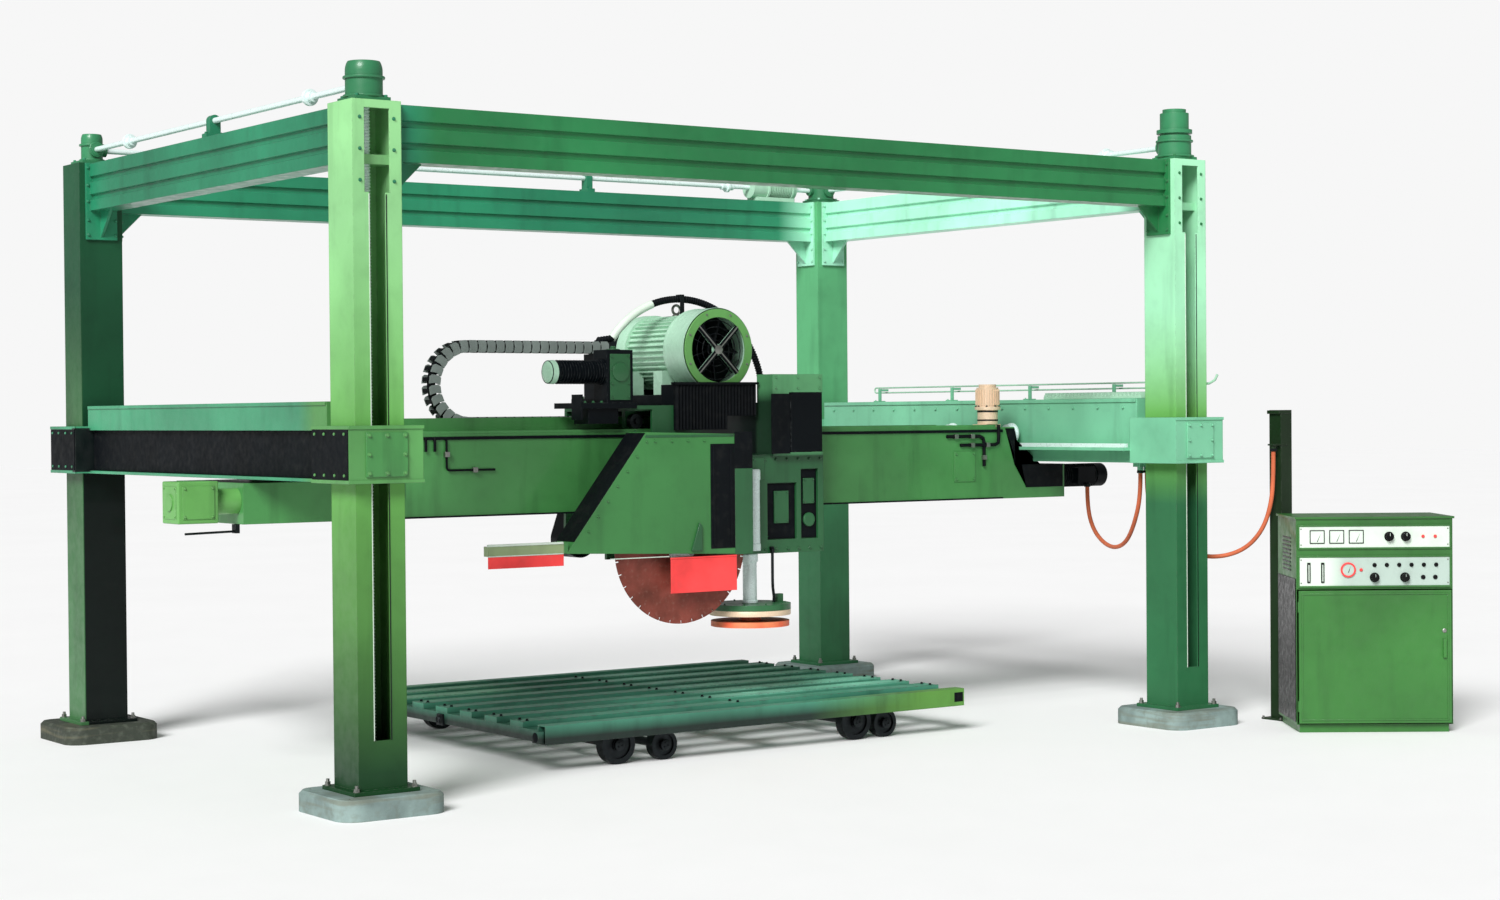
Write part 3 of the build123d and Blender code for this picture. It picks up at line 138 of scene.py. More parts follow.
class Graph:
    """A material and the few node recipes that every finish here is made of."""

    def __init__(self, name):
        self.material = bpy.data.materials.new(name)
        self.material.use_nodes = True
        self.tree = self.material.node_tree
        self.tree.nodes.clear()
        self.shader = self.node("ShaderNodeBsdfPrincipled")
        output = self.node("ShaderNodeOutputMaterial")
        self.link(self.shader.outputs["BSDF"], output.inputs["Surface"])
        self.place = self.node("ShaderNodeTexCoord").outputs["Object"]
        self.rounded = None

    def node(self, kind, **settings):
        """A new node with its settings."""
        made = self.tree.nodes.new(kind)
        for key, value in settings.items():
            setattr(made, key, value)
        return made

    def link(self, source, target):
        self.tree.links.new(source, target)

    def noise(self, scale, detail=4.0, stretch=(1, 1, 1)):
        """Noise laid over the piece's own place, drawn out along an axis whose stretch is below 1."""
        mapping = self.node("ShaderNodeMapping")
        mapping.inputs["Scale"].default_value = stretch
        self.link(self.place, mapping.inputs["Vector"])
        made = self.node("ShaderNodeTexNoise")
        made.inputs["Scale"].default_value = scale
        made.inputs["Detail"].default_value = detail
        self.link(mapping.outputs["Vector"], made.inputs["Vector"])
        return made.outputs["Fac"]

    def remap(self, value, low, high, to_low=0.0, to_high=1.0):
        """A value's span from low to high, moved to another span and clamped to it."""
        made = self.node("ShaderNodeMapRange")
        for key, number in (("From Min", low), ("From Max", high), ("To Min", to_low), ("To Max", to_high)):
            made.inputs[key].default_value = number
        self.link(value, made.inputs["Value"])
        return made.outputs["Result"]

    def times(self, first, second):
        """Product of a socket and a socket or number."""
        made = self.node("ShaderNodeMath", operation="MULTIPLY")
        self.link(first, made.inputs[0])
        if isinstance(second, (int, float)):
            made.inputs[1].default_value = second
        else:
            self.link(second, made.inputs[1])
        return made.outputs[0]

    def mix(self, factor, first, second, blend="MIX"):
        """The first colour where the factor is 0, the second where it is 1."""
        made = self.node("ShaderNodeMix", data_type="RGBA", blend_type=blend)
        self.link(factor, made.inputs[0])
        for socket, value in ((made.inputs[6], first), (made.inputs[7], second)):
            if isinstance(value, tuple):
                socket.default_value = value
            else:
                self.link(value, socket)
        return made.outputs[2]

    def darken(self, factor, colour, amount):
        """Multiply a colour by an amount where the factor is 1."""
        return self.mix(factor, colour, (amount, amount, amount, 1), "MULTIPLY")

    def height_ramp(self, stops):
        """Colour that changes with height: stops are (height, colour) from the floor up."""
        parts = self.node("ShaderNodeSeparateXYZ")
        self.link(self.place, parts.inputs[0])
        base = stops[0][1]
        for (low, _), (high, colour) in zip(stops, stops[1:]):
            base = self.mix(self.remap(parts.outputs["Z"], low, high), base, colour)
        return base

    def zone(self, *limits):
        """1 inside a part of the machine, 0 outside: limits are (axis, where it is 0, where it is 1)."""
        parts = self.node("ShaderNodeSeparateXYZ")
        self.link(self.place, parts.inputs[0])
        inside = None
        for axis, outside, within in limits:
            step = self.remap(parts.outputs[axis], outside, within)
            inside = self.times(inside, step) if inside else step
        return inside

    def edges(self, radius):
        """1 on sharp edges, 0 on flat faces."""
        bevel = self.node("ShaderNodeBevel", samples=4)
        bevel.inputs["Radius"].default_value = radius
        self.rounded = bevel.outputs["Normal"]
        normal = self.node("ShaderNodeNewGeometry").outputs["Normal"]
        dot = self.node("ShaderNodeVectorMath", operation="DOT_PRODUCT")
        self.link(bevel.outputs["Normal"], dot.inputs[0])
        self.link(normal, dot.inputs[1])
        return self.remap(dot.outputs["Value"], 0.995, 0.9)

    def bump(self, height, strength, distance):
        """Relief from a height value, over the rounded edges where there are any."""
        made = self.node("ShaderNodeBump")
        made.inputs["Strength"].default_value = strength
        made.inputs["Distance"].default_value = distance
        self.link(height, made.inputs["Height"])
        if self.rounded:
            self.link(self.rounded, made.inputs["Normal"])
        self.link(made.outputs["Normal"], self.shader.inputs["Normal"])

    def finish(self, colour, roughness, metallic=0.0, coat=0.0, specular=0.5):
        """Set the shader's inputs and hand back the material."""
        self.link(colour, self.shader.inputs["Base Color"])
        self.link(roughness, self.shader.inputs["Roughness"])
        self.shader.inputs["Metallic"].default_value = metallic
        self.shader.inputs["Coat Weight"].default_value = coat
        self.shader.inputs["Specular IOR Level"].default_value = specular
        return self.material


def enamel(name, colour, worn=srgb(92, 96, 90), tone=0.22, grime=0.35, wear=0.55, gloss=0.36, stops=None,
           zones=(), coat=0.12, specular=0.4):
    """Brushed machine enamel: drifting tone, runs of grime, chipped edges, orange-peel surface; height stops
    and zones set colours by place, most of them painted shade and painted highlights.
    """
    g = Graph(name)
    drift = g.remap(g.noise(0.7, 3), 0.35, 0.65)
    if stops:
        base = g.mix(drift, g.height_ramp([(height, shade(shown, 1 - tone)) for height, shown in stops]),
                     g.height_ramp([(height, shade(shown, 1 + tone)) for height, shown in stops]))
    else:
        base = g.mix(drift, shade(colour, 1 - tone), shade(colour, 1 + tone))
    for limits, shown in zones:
        base = g.mix(g.zone(*limits), base, g.mix(drift, shade(shown, 1 - tone), shade(shown, 1 + tone)))
    patches = g.times(g.remap(g.noise(9, 6), 0.5, 0.75), 0.3)
    base = g.darken(patches, base, 0.7)
    runs = g.times(g.remap(g.noise(7, 5, (1, 1, 0.12)), 0.54, 0.78), grime)
    base = g.darken(runs, base, 0.28)
    chips = g.times(g.edges(0.006), g.remap(g.noise(45, 5), 0.46, 0.62))
    base = g.mix(g.times(chips, wear), base, worn)
    g.bump(g.noise(260, 3), 0.12, 0.002)
    return g.finish(base, g.remap(g.noise(14, 5), 0.3, 0.7, gloss - 0.07, gloss + 0.16), coat=coat,
                    specular=specular)


def bare_metal(name, colour, roughness=0.3, stain=0.3, metallic=1.0):
    """Machined or rolled metal with fine grain and oily stains."""
    g = Graph(name)
    lines = g.noise(320, 3)
    base = g.mix(g.remap(lines, 0.35, 0.65), shade(colour, 0.8), shade(colour, 1.12))
    stains = g.times(g.remap(g.noise(12, 6), 0.5, 0.75), stain)
    base = g.mix(stains, base, shade(colour, 0.35))
    g.bump(lines, 0.15, 0.001)
    roughness = g.remap(g.noise(25, 4), 0.3, 0.7, roughness - 0.08, roughness + 0.14)
    return g.finish(base, roughness, metallic=metallic)


def polymer(name, colour, roughness=0.55, dust=0.25):
    """Rubber or plastic: fine moulded grain, dust in patches, paler rubbed edges."""
    g = Graph(name)
    base = g.mix(g.remap(g.noise(3, 5), 0.35, 0.65), shade(colour, 0.82), shade(colour, 1.18))
    dusty = g.times(g.remap(g.noise(16, 6), 0.52, 0.8), dust)
    base = g.mix(dusty, base, srgb(120, 118, 108))
    base = g.mix(g.times(g.edges(0.004), 0.3), base, shade(colour, 1.9))
    g.bump(g.noise(420, 2), 0.2, 0.001)
    return g.finish(base, g.remap(g.noise(22, 4), 0.3, 0.7, roughness - 0.1, roughness + 0.12), specular=0.12)


def stone_paint(name, colour):
    """Painted casting of the plinths: pitted, with olive bands of dirt, and darker under the rear left column
    as painted shade.
    """
    g = Graph(name)
    base = g.mix(g.remap(g.noise(5, 8), 0.35, 0.65), shade(colour, 0.72), shade(colour, 1.15))
    # Painted shade on the plinths under the rear left column.
    base = g.mix(g.zone(*REAR_LEFT), base, srgb(48, 54, 44))
    bands = g.times(g.remap(g.noise(6, 3, (0.3, 0.3, 4)), 0.5, 0.66), 0.5)
    base = g.mix(bands, base, srgb(104, 100, 78))
    stains = g.times(g.remap(g.noise(18, 6), 0.5, 0.72), 0.45)
    base = g.mix(stains, base, srgb(98, 104, 92))
    g.bump(g.noise(90, 8), 0.4, 0.004)
    return g.finish(base, g.remap(g.noise(30, 4), 0.3, 0.7, 0.6, 0.85))


def cutting_steel(name, colour, rust, metallic):
    """Blade disc: patches of rust under a film of slurry, rubbed paler here and there."""
    g = Graph(name)
    base = g.mix(g.remap(g.noise(6, 7), 0.35, 0.68), colour, rust)
    rubbed = g.times(g.remap(g.noise(34, 5), 0.55, 0.75), 0.35)
    base = g.mix(rubbed, base, srgb(150, 112, 98))
    g.bump(g.noise(150, 5), 0.18, 0.001)
    return g.finish(base, g.remap(g.noise(20, 4), 0.3, 0.7, 0.38, 0.62), metallic=metallic)


# Paint tones by height: (height, colour) from the floor up, standing largely for light.
# Columns: near black at the foot, painted shade with some grime; palest cyan at the top, a painted highlight.
COLUMN_TONES = ((0.25, srgb(20, 60, 30)), (1.3, srgb(86, 142, 70)), (2.3, srgb(104, 172, 84)),
                (3.6, srgb(150, 214, 146)))
# Trolley: frame near black below the deck, painted shade under the deck; full colour at deck height.
TROLLEY_TONES = ((0.24, srgb(14, 34, 27)), (0.36, srgb(74, 150, 122)))

# Zones of the machine whose colour differs: (axis, where the zone fades out, where it is full). Most are
# painted shade and painted highlights, noted on each.
# Rear left column and its collar: painted shade, darkest on the lower front and the collar's front, less dark
# on the outer face.
REAR_LEFT = (("X", -2.4, -2.9), ("Y", 1.2, 1.9))
REAR_LEFT_LOW = REAR_LEFT + (("Z", 2.6, 2.0), ("X", -3.614, -3.606))
REAR_LEFT_OUTER = (("X", -3.606, -3.614), ("Y", 1.2, 1.9), ("Z", 3.4, 2.4))
REAR_COLLAR_FRONT = (("X", -3.25, -3.30), ("Y", 1.94, 1.98), ("Y", 2.06, 2.03), ("Z", 2.016, 2.024),
                     ("Z", 2.352, 2.344))
# Rear right column: one even lit tone in place of the height ramp, a painted highlight.
REAR_RIGHT = (("X", 2.4, 3.0), ("Y", 1.2, 1.9))
# Right side low down: painted shade.
RIGHT_LOW = (("X", 2.4, 3.0), ("Z", 2.1, 1.7))
# Front right column's upper part: pale cyan, a painted highlight.
FRONT_RIGHT_TOP = (("X", 2.4, 3.0), ("Y", -1.2, -1.9), ("Z", 2.4, 3.2))
FRONT_LEFT = (("X", -2.9, -3.15), ("Y", -1.6, -1.82))
# Front end of the front top beam: darker, painted shade.
FRONT_BEAM = (("Y", -1.70, -1.74), ("X", -3.2, -3.0))
# Right top beam and the right side of the lift frame: paler, painted highlights.
RIGHT_BEAM = (("X", 2.9, 3.25), ("Y", -2.1, -1.75))
RIGHT_FRAME = (("X", 2.9, 3.10),)
SHELF = (("X", -1.47, -1.48),)
# Under the main motor: near black, painted shade.
UNDER_MOTOR_SHADE = (("X", -0.10, 0.05), ("X", 0.60, 0.43), ("Y", -0.70, -0.80), ("Z", 2.08, 2.12),
               ("Z", 2.60, 2.50))
# Upper part of the horizontal unit: paler, a painted highlight.
UNIT_TOP = (("X", 0.36, 0.46), ("Z", 2.10, 2.14))
# Pale patches on the trolley deck: painted highlights.
DECK_HIGHLIGHT_PATCH = (("X", -0.1, 0.4), ("X", 2.0, 1.4), ("Y", -1.2, -0.7), ("Y", 1.2, 0.7), ("Z", 0.320, 0.328))
DECK_CORNER_HIGHLIGHT = (("X", -0.6, -1.0), ("Y", 0.1, 0.5), ("Z", 0.320, 0.328))
TUBE_END = (("X", 0.4, 1.4), ("Y", -1.48, -1.50))
LOWER_PANEL = (("X", 3.9, 4.0), ("Z", 1.330, 1.326))
CABLE_POST = (("X", 3.95, 4.0),)

MATERIALS = {}


def add(recipe, name, *colours, **settings):
    """Make one finish of the record's material slots."""
    MATERIALS[name] = recipe(name, *colours, **settings)


add(stone_paint, "plinth_grey", srgb(126, 146, 142))
add(bare_metal, "zinc_steel", srgb(150, 152, 146), roughness=0.42)
add(enamel, "machine_enamel", srgb(82, 158, 88), stops=COLUMN_TONES, coat=0.05, specular=0.22,
    zones=((REAR_LEFT, srgb(24, 72, 46)), (REAR_LEFT_LOW, srgb(3, 13, 10)),
           (REAR_LEFT_OUTER, srgb(58, 102, 62)), (REAR_RIGHT, srgb(92, 172, 118)),
           (FRONT_RIGHT_TOP, srgb(160, 224, 182)), (RIGHT_LOW, srgb(44, 100, 64)),
           (CABLE_POST, srgb(22, 42, 20))))
add(enamel, "beam_enamel", srgb(36, 128, 92),
    zones=((FRONT_BEAM, srgb(36, 116, 66)), (RIGHT_BEAM, srgb(166, 236, 202))))
add(enamel, "gearbox_enamel", srgb(46, 118, 78))
add(enamel, "pale_enamel", srgb(168, 208, 182), gloss=0.24, grime=0.2)
add(enamel, "carriage_enamel", srgb(64, 144, 106),
    zones=((RIGHT_FRAME, srgb(118, 190, 152)), (FRONT_LEFT, srgb(84, 146, 80)),
           (REAR_COLLAR_FRONT, srgb(9, 18, 18))))
add(enamel, "bridge_enamel", srgb(68, 134, 72), grime=0.45)
add(enamel, "light_green_enamel", srgb(98, 160, 84))
add(enamel, "head_enamel", srgb(38, 92, 54), grime=0.5,
    zones=((UNIT_TOP, srgb(92, 160, 108)), (UNDER_MOTOR_SHADE, srgb(9, 20, 18))))
add(enamel, "hood_enamel", srgb(58, 124, 64), grime=0.3, zones=((SHELF, srgb(142, 162, 118)),))
add(enamel, "trolley_enamel", srgb(54, 112, 88), wear=0.9, grime=0.6, gloss=0.5, stops=TROLLEY_TONES,
    zones=((DECK_HIGHLIGHT_PATCH, srgb(132, 204, 176)), (DECK_CORNER_HIGHLIGHT, srgb(120, 184, 150)),
           (TUBE_END, srgb(78, 128, 52))))
add(enamel, "cabinet_enamel", srgb(48, 106, 44), grime=0.3)
add(enamel, "panel_paint", srgb(206, 220, 206), tone=0.06, grime=0.15, wear=0.3, gloss=0.4,
    zones=((LOWER_PANEL, srgb(168, 186, 176)),))
add(enamel, "black_enamel", srgb(9, 14, 18), worn=srgb(84, 88, 88), tone=0.3, coat=0.0, specular=0.1)
add(polymer, "black_rubber", srgb(7, 11, 15), roughness=0.6, dust=0.04)
add(polymer, "belt_rubber", srgb(20, 20, 20), roughness=0.7)
add(polymer, "chain_plastic", srgb(128, 138, 134), roughness=0.5, dust=0.1)
add(polymer, "black_plastic", srgb(14, 14, 15), roughness=0.28, dust=0.05)
add(polymer, "red_rubber", srgb(236, 72, 72), roughness=0.5, dust=0.08)
add(polymer, "orange_hose", srgb(192, 100, 68), roughness=0.42, dust=0.1)
add(bare_metal, "ground_steel", srgb(226, 244, 240), stain=0.08, metallic=0.15)
add(bare_metal, "dark_steel", srgb(46, 50, 52), roughness=0.45)
add(bare_metal, "bronze", srgb(176, 130, 66), roughness=0.35)
add(bare_metal, "copper_metal", srgb(236, 208, 178), roughness=0.4, stain=0.1, metallic=0.15)
add(cutting_steel, "blade_steel", srgb(142, 70, 58), srgb(100, 48, 36), metallic=0.35)
add(cutting_steel, "flat_blade_steel", srgb(236, 140, 92), srgb(240, 88, 58), metallic=0.1)

for part in RECORD["subparts"]:
    data = frame["nodes"][part["node"]].data
    data.materials.clear()
    data.materials.append(MATERIALS[part["material_slot"]])


# ------------------------------------------------------------------ mesh building

class Build:
    """Gathers plates, turned pieces, bolts and tubes into one bevelled mesh."""

    def __init__(self):
        self.mesh = bmesh.new()

    def box(self, low, high):
        """Block between two opposite corners."""
        low, high = [min(pair) for pair in zip(low, high)], [max(pair) for pair in zip(low, high)]
        corners = [self.mesh.verts.new((x, y, z)) for x in (low[0], high[0])
                   for y in (low[1], high[1]) for z in (low[2], high[2])]
        for face in ((0, 1, 3, 2), (4, 6, 7, 5), (0, 4, 5, 1), (2, 3, 7, 6), (0, 2, 6, 4), (1, 5, 7, 3)):
            self.mesh.faces.new([corners[i] for i in face])
        return self

    def ring(self, points):
        """New vertices at the points."""
        return [self.mesh.verts.new(point) for point in points]

    def skin(self, rings, closed=False):
        """Join rings of vertices into a wall, which is capped unless it closes on itself."""
        for first, second in zip(rings, rings[1:] + rings[:1] if closed else rings[1:]):
            for i in range(len(first)):
                j = (i + 1) % len(first)
                self.mesh.faces.new((first[i], first[j], second[j], second[i]))
        if not closed:
            self.mesh.faces.new(rings[0][::-1])
            self.mesh.faces.new(rings[-1])
        return self

    def turned(self, start, along, profile, sides=32, closed=False):
        """Surface of revolution: profile is (distance along, radius), capped or closed into a ring."""
        start, along = Vector(start), Vector(along).normalized()
        rings = [self.ring(ring_of(start + along * distance, along, radius, sides))
                 for distance, radius in profile]
        return self.skin(rings, closed)

    def bolt(self, at, out, size=0.012):
        """Washer and hexagon head standing on a surface whose outward normal is out."""
        at, out = Vector(at), Vector(out).normalized()
        self.turned(at - out * 0.001, out, [(0, size * 1.5), (size * 0.3, size * 1.5)], 16)
        self.turned(at + out * size * 0.25, out,
                    [(0, size), (size * 0.95, size), (size * 1.15, size * 0.82)], 6)
        return self

    def bolts(self, places, out, size=0.012):
        """The same bolt at several places."""
        for at in places:
            self.bolt(at, out, size)
        return self

    def prism(self, outline, push):
        """Flat outline pushed along a vector."""
        near = [Vector(p) for p in outline]
        return self.skin([self.ring(near), self.ring([p + Vector(push) for p in near])])

    def tube(self, points, radius, sides=14):
        """Round bar along a polyline, its section carried without twist."""
        points = [Vector(p) for p in points]
        last = len(points) - 1
        tangents = [(points[min(i + 1, last)] - points[max(i - 1, 0)]).normalized() for i in range(last + 1)]
        across = tangents[0].orthogonal().normalized()
        rings = []
        for point, tangent in zip(points, tangents):
            across = (across - tangent * across.dot(tangent)).normalized()
            rings.append(self.ring(circle(point, across, tangent.cross(across), radius, sides)))
        return self.skin(rings)

    def make(self, name, slot, body, bevel=0.0):
        """Turn what was gathered into an object that rides on a body."""
        bmesh.ops.recalc_face_normals(self.mesh, faces=self.mesh.faces)
        data = bpy.data.meshes.new(name)
        self.mesh.to_mesh(data)
        self.mesh.free()
        for polygon in data.polygons:
            polygon.use_smooth = True
        data.set_sharp_from_angle(angle=math.radians(35))
        data.materials.append(MATERIALS[slot])
        made = bpy.data.objects.new(name, data)
        bpy.context.scene.collection.objects.link(made)
        if bevel:
            modifier = made.modifiers.new("edges", "BEVEL")
            modifier.width = bevel
            modifier.segments = 2
            modifier.limit_method = "ANGLE"
            modifier.angle_limit = math.radians(40)
        if body:
            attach(made, body)
        return made


# ------------------------------------------------------------------ hoses

HOSE_DIAMETER = 0.034
BRIDGE_HOSE = [(3.830, -0.850, 1.790), (3.830, -0.850, 1.620), (3.790, -0.955, 1.450),
               (3.711, -1.158, 1.345), (3.620, -1.391, 1.310), (3.533, -1.614, 1.370),
               (3.462, -1.780, 1.530), (3.430, -1.880, 1.745), (3.430, -1.880, 1.925)]
SUPPLY_HOSE = [(3.500, -1.880, 1.925), (3.500, -1.880, 1.735), (3.550, -1.905, 1.530),
               (3.660, -1.970, 1.370), (3.790, -2.090, 1.280), (3.915, -2.260, 1.262),
               (4.030, -2.420, 1.330), (4.105, -2.530, 1.480), (4.140, -2.585, 1.680),
               (4.150, -2.600, 1.890), (4.150, -2.600, 2.090)]


def hose_line(route):
    """The smooth line of a NURBS spline whose control points are the route's."""
    curve = bpy.data.curves.new("route", "CURVE")
    curve.dimensions = "3D"
    spline = curve.splines.new("NURBS")
    spline.points.add(len(route) - 1)
    for point, place in zip(spline.points, route):
        point.co = (*place, 1)
    spline.order_u = 3
    spline.use_endpoint_u = True
    spline.resolution_u = 12
    carrier = bpy.data.objects.new("route", curve)
    bpy.context.scene.collection.objects.link(carrier)
    bpy.context.view_layer.update()
    line = bpy.data.meshes.new_from_object(carrier)
    points = [v.co.copy() for v in line.vertices]
    bpy.data.objects.remove(carrier)
    return points


def make_hose(name, node, route):
    """A hose curved along its route between the two bodies that hold its ends."""
    line = hose_line(route)
    hose = Build().tube(line, HOSE_DIAMETER / 2, 20).make(name, "orange_hose", None)
    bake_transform(hose)
    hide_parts(node)


make_hose("bridge_hose_tube", "bridge_hose", BRIDGE_HOSE)
make_hose("supply_hose_tube", "supply_hose", SUPPLY_HOSE)


# ------------------------------------------------------------------ places taken from the frame

FEET = {m["name"][5:]: Vector(m["pos_m"]) for m in RECORD["mounts"] if m["name"].startswith("foot_")}
JOINTS = {j["name"]: j for j in RECORD["behaviour"]["joints"]}
SIDES = (-1, 1)
COLUMN_HALF = 0.165
SLOT_HALF = 0.055
SHAFT_Z = JOINTS["shaft_rear_turn"]["pos_m"][2]
BEAM_TOP = 4.32
CAP_FLANGE = 4.356
SLOT_LOW, SLOT_HIGH = 0.45, 3.76


def outward(foot):
    """Signs of x and y that point away from the machine's middle at a column."""
    return math.copysign(1, foot.x), math.copysign(1, foot.y)


def square(half):
    """The four corners of a square about the origin."""
    return [(dx, dy) for dx in (-half, half) for dy in (-half, half)]


def discs(build, start, along, radius, length, count, thickness=0.004, sides=40):
    """A row of thin cooling discs."""
    for distance in spread(0, length - thickness, count):
        at = Vector(start) + Vector(along).normalized() * distance
        build.turned(at, along, [(0, radius - 0.001), (0.0008, radius), (thickness - 0.0008, radius),
                                 (thickness, radius - 0.001)], sides)
    return build


# ------------------------------------------------------------------ columns and top ring

def make_guide_strips():
    """Ground strips down both edges of each column's slot: pale on the left edge, a painted highlight, and
    dark on the right edge, painted shade.
    """
    strips = {-1: Build(), 1: Build()}
    for foot in FEET.values():
        face = outward(foot)[1]
        y = foot.y + face * COLUMN_HALF
        for side in SIDES:
            x = foot.x + side * SLOT_HALF
            strips[side].box((x, y, SLOT_LOW), (x + side * 0.006, y + face * 0.004, SLOT_HIGH))
    # The left strips carry a painted highlight, the right strips painted shade.
    strips[-1].make("column_guide_strips_left", "panel_paint", "frame", 0.001)
    strips[1].make("column_guide_strips_right", "dark_steel", "frame", 0.001)


def make_ring_bolts():
    """Bolts of the top beams' brackets, the pillow blocks, the gearboxes and the slot windows."""
    bolts = Build()
    plate = COLUMN_HALF + 0.02
    for foot in FEET.values():
        out_x, out_y = outward(foot)
        for z in (3.79, 3.90, 4.04, 4.16, 4.29):
            for offset in (-0.105, 0.105):
                bolts.bolt((foot.x - out_x * plate, foot.y + offset, z), -out_x * X, 0.009)
                bolts.bolt((foot.x + offset, foot.y - out_y * plate, z), -out_y * Y, 0.009)
        bolts.bolts([(foot.x + dx, foot.y + dy, CAP_FLANGE) for dx, dy in square(0.098)], Z, 0.011)
        for dx in (-0.115, 0.115):
            for z in (3.84, 4.03, 4.22):
                bolts.bolt((foot.x + dx, foot.y + out_y * COLUMN_HALF, z), out_y * Y, 0.008)
    block_top = BEAM_TOP + 0.03
    for x in (-0.95, 0.94):
        bolts.bolts([(x, FEET["rear_left"].y + dy, block_top) for dy in (-0.055, 0.055)], Z, 0.010)
    for foot in (FEET["rear_left"], FEET["rear_right"]):
        bolts.bolts([(foot.x + dx, 0, block_top) for dx in (-0.055, 0.055)], Z, 0.010)
    bolts.make("top_ring_bolts", "beam_enamel", "frame", 0.0006)


def make_gearbox_trim():
    """Flange rings round the gearbox caps and collars on their shaft outlets."""
    cap_radius = {"front_left": 0.115, "front_right": 0.128, "rear_left": 0.080, "rear_right": 0.115}
    trim = Build()
    for corner, foot in FEET.items():
        radius = cap_radius[corner]
        flange = [(0, radius), (0, radius + 0.012), (0.003, radius + 0.014), (0.013, radius + 0.014),
                  (0.016, radius + 0.011), (0.016, radius)]
        for z in (CAP_FLANGE, 4.470):
            trim.turned((foot.x, foot.y, z), Z, flange, 40)
        inward = -outward(foot)[1] * Y
        trim.turned(Vector((foot.x, foot.y, SHAFT_Z)) + inward * (radius + 0.004), inward,
                    [(0, 0.045), (0, 0.058), (0.016, 0.058), (0.019, 0.054), (0.019, 0.045)], 32)
    top = FEET["front_right"]
    trim.turned((top.x, top.y, 4.70), Z, [(0, 0.03), (0, 0.05), (0.012, 0.05), (0.020, 0.03)], 24)
    trim.make("gearbox_trim", "gearbox_enamel", "frame", 0.0008)


def make_shaft_couplings():
    """Flanged couplings with their bolts on each line shaft."""
    left, right = FEET["rear_left"], FEET["rear_right"]
    places = {"shaft_rear": (X, [(x, left.y, SHAFT_Z) for x in (-2.4, 2.4)]),
              "shaft_left": (Y, [(left.x, y, SHAFT_Z) for y in (-1.5, 1.5)]),
              "shaft_right": (Y, [(right.x, y, SHAFT_Z) for y in (-1.5, 1.5)])}
    half = 0.012
    flange = [(0, 0.034), (0, 0.052), (0.002, 0.054), (0.022, 0.054), (0.024, 0.052), (0.024, 0.034)]
    for body, (along, centres) in places.items():
        parts = Build()
        for centre in centres:
            at = Vector(centre)
            parts.turned(at - along * half, along, flange, 32)
            parts.bolts(ring_of(at + along * half, along, 0.044, 6), along, 0.005)
        parts.make(f"{body}_couplings", "ground_steel", body, 0.0005)


def make_lift_motor_parts():
    """Cooling fins of the lifting motor, and its terminal box's lid and cable gland."""
    low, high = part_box("lift_motor")
    y = FEET["rear_left"].y
    fins = discs(Build(), (low.x + 0.19, y, SHAFT_Z), X, 0.105, high.x - low.x - 0.26, 12)
    fins.make("lift_motor_fins", "pale_enamel", "frame")
    top = high.z + 0.006
    box = Build().box((low.x + 0.195, y - 0.066, high.z - 0.012), (high.x - 0.055, y + 0.066, top))
    box.bolts([(x, y + dy, top) for x in (low.x + 0.22, high.x - 0.08) for dy in (-0.05, 0.05)], Z, 0.006)
    box.turned((low.x + 0.28, y - 0.06, SHAFT_Z + 0.09), -Y,
               [(0, 0.016), (0.03, 0.016), (0.03, 0.012), (0.05, 0.011)], 20)
    box.make("lift_motor_box_lid", "gearbox_enamel", "frame", 0.0015)


def make_screw_threads():
    """Trapezoidal thread of 20 mm lead on each lifting screw."""
    lead, crest, root, steps = 0.020, 0.0347, 0.0292, 12
    profile = ((0.0, root), (0.2, crest), (0.5, crest), (0.7, root))
    for corner in CORNERS:
        low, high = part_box(f"lift_screw_{corner}")
        centre = (low + high) / 2
        length = high.z - low.z
        turns = int((length - 0.03) / lead)
        screw = Build()
        rows = []
        for i in range(turns * steps + 1):
            angle = 2 * math.pi * i / steps
            z = low.z + 0.004 + lead * i / steps
            rows.append(screw.ring([(centre.x + r * math.cos(angle), centre.y + r * math.sin(angle),
                                     z + lead * share) for share, r in profile]))
        for i in range(len(rows) - 1):
            for j in range(3):
                screw.mesh.faces.new((rows[i][j], rows[i + 1][j], rows[i + 1][j + 1], rows[i][j + 1]))
            if i + 1 + steps < len(rows):
                screw.mesh.faces.new((rows[i][3], rows[i + 1][3], rows[i + 1 + steps][0], rows[i + steps][0]))
        screw.turned((centre.x, centre.y, low.z), Z,
                     [(0, root - 0.003), (0.003, root - 0.0008), (length - 0.003, root - 0.0008),
                      (length, root - 0.003)], 24)
        made = screw.make(f"threaded_screw_{corner}", "ground_steel", f"screw_{corner}")
        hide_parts(f"lift_screw_{corner}")


make_guide_strips()
make_ring_bolts()
make_gearbox_trim()
make_shaft_couplings()
make_lift_motor_parts()
make_screw_threads()


# ------------------------------------------------------------------ lift frame

COLLAR_HALF = 0.25
COLLAR_LOW, COLLAR_HIGH = 2.01, 2.36
SIDE_TOP = 2.51
SIDE_INNER, SIDE_OUTER, SIDE_END = 3.28, 3.60, 1.99


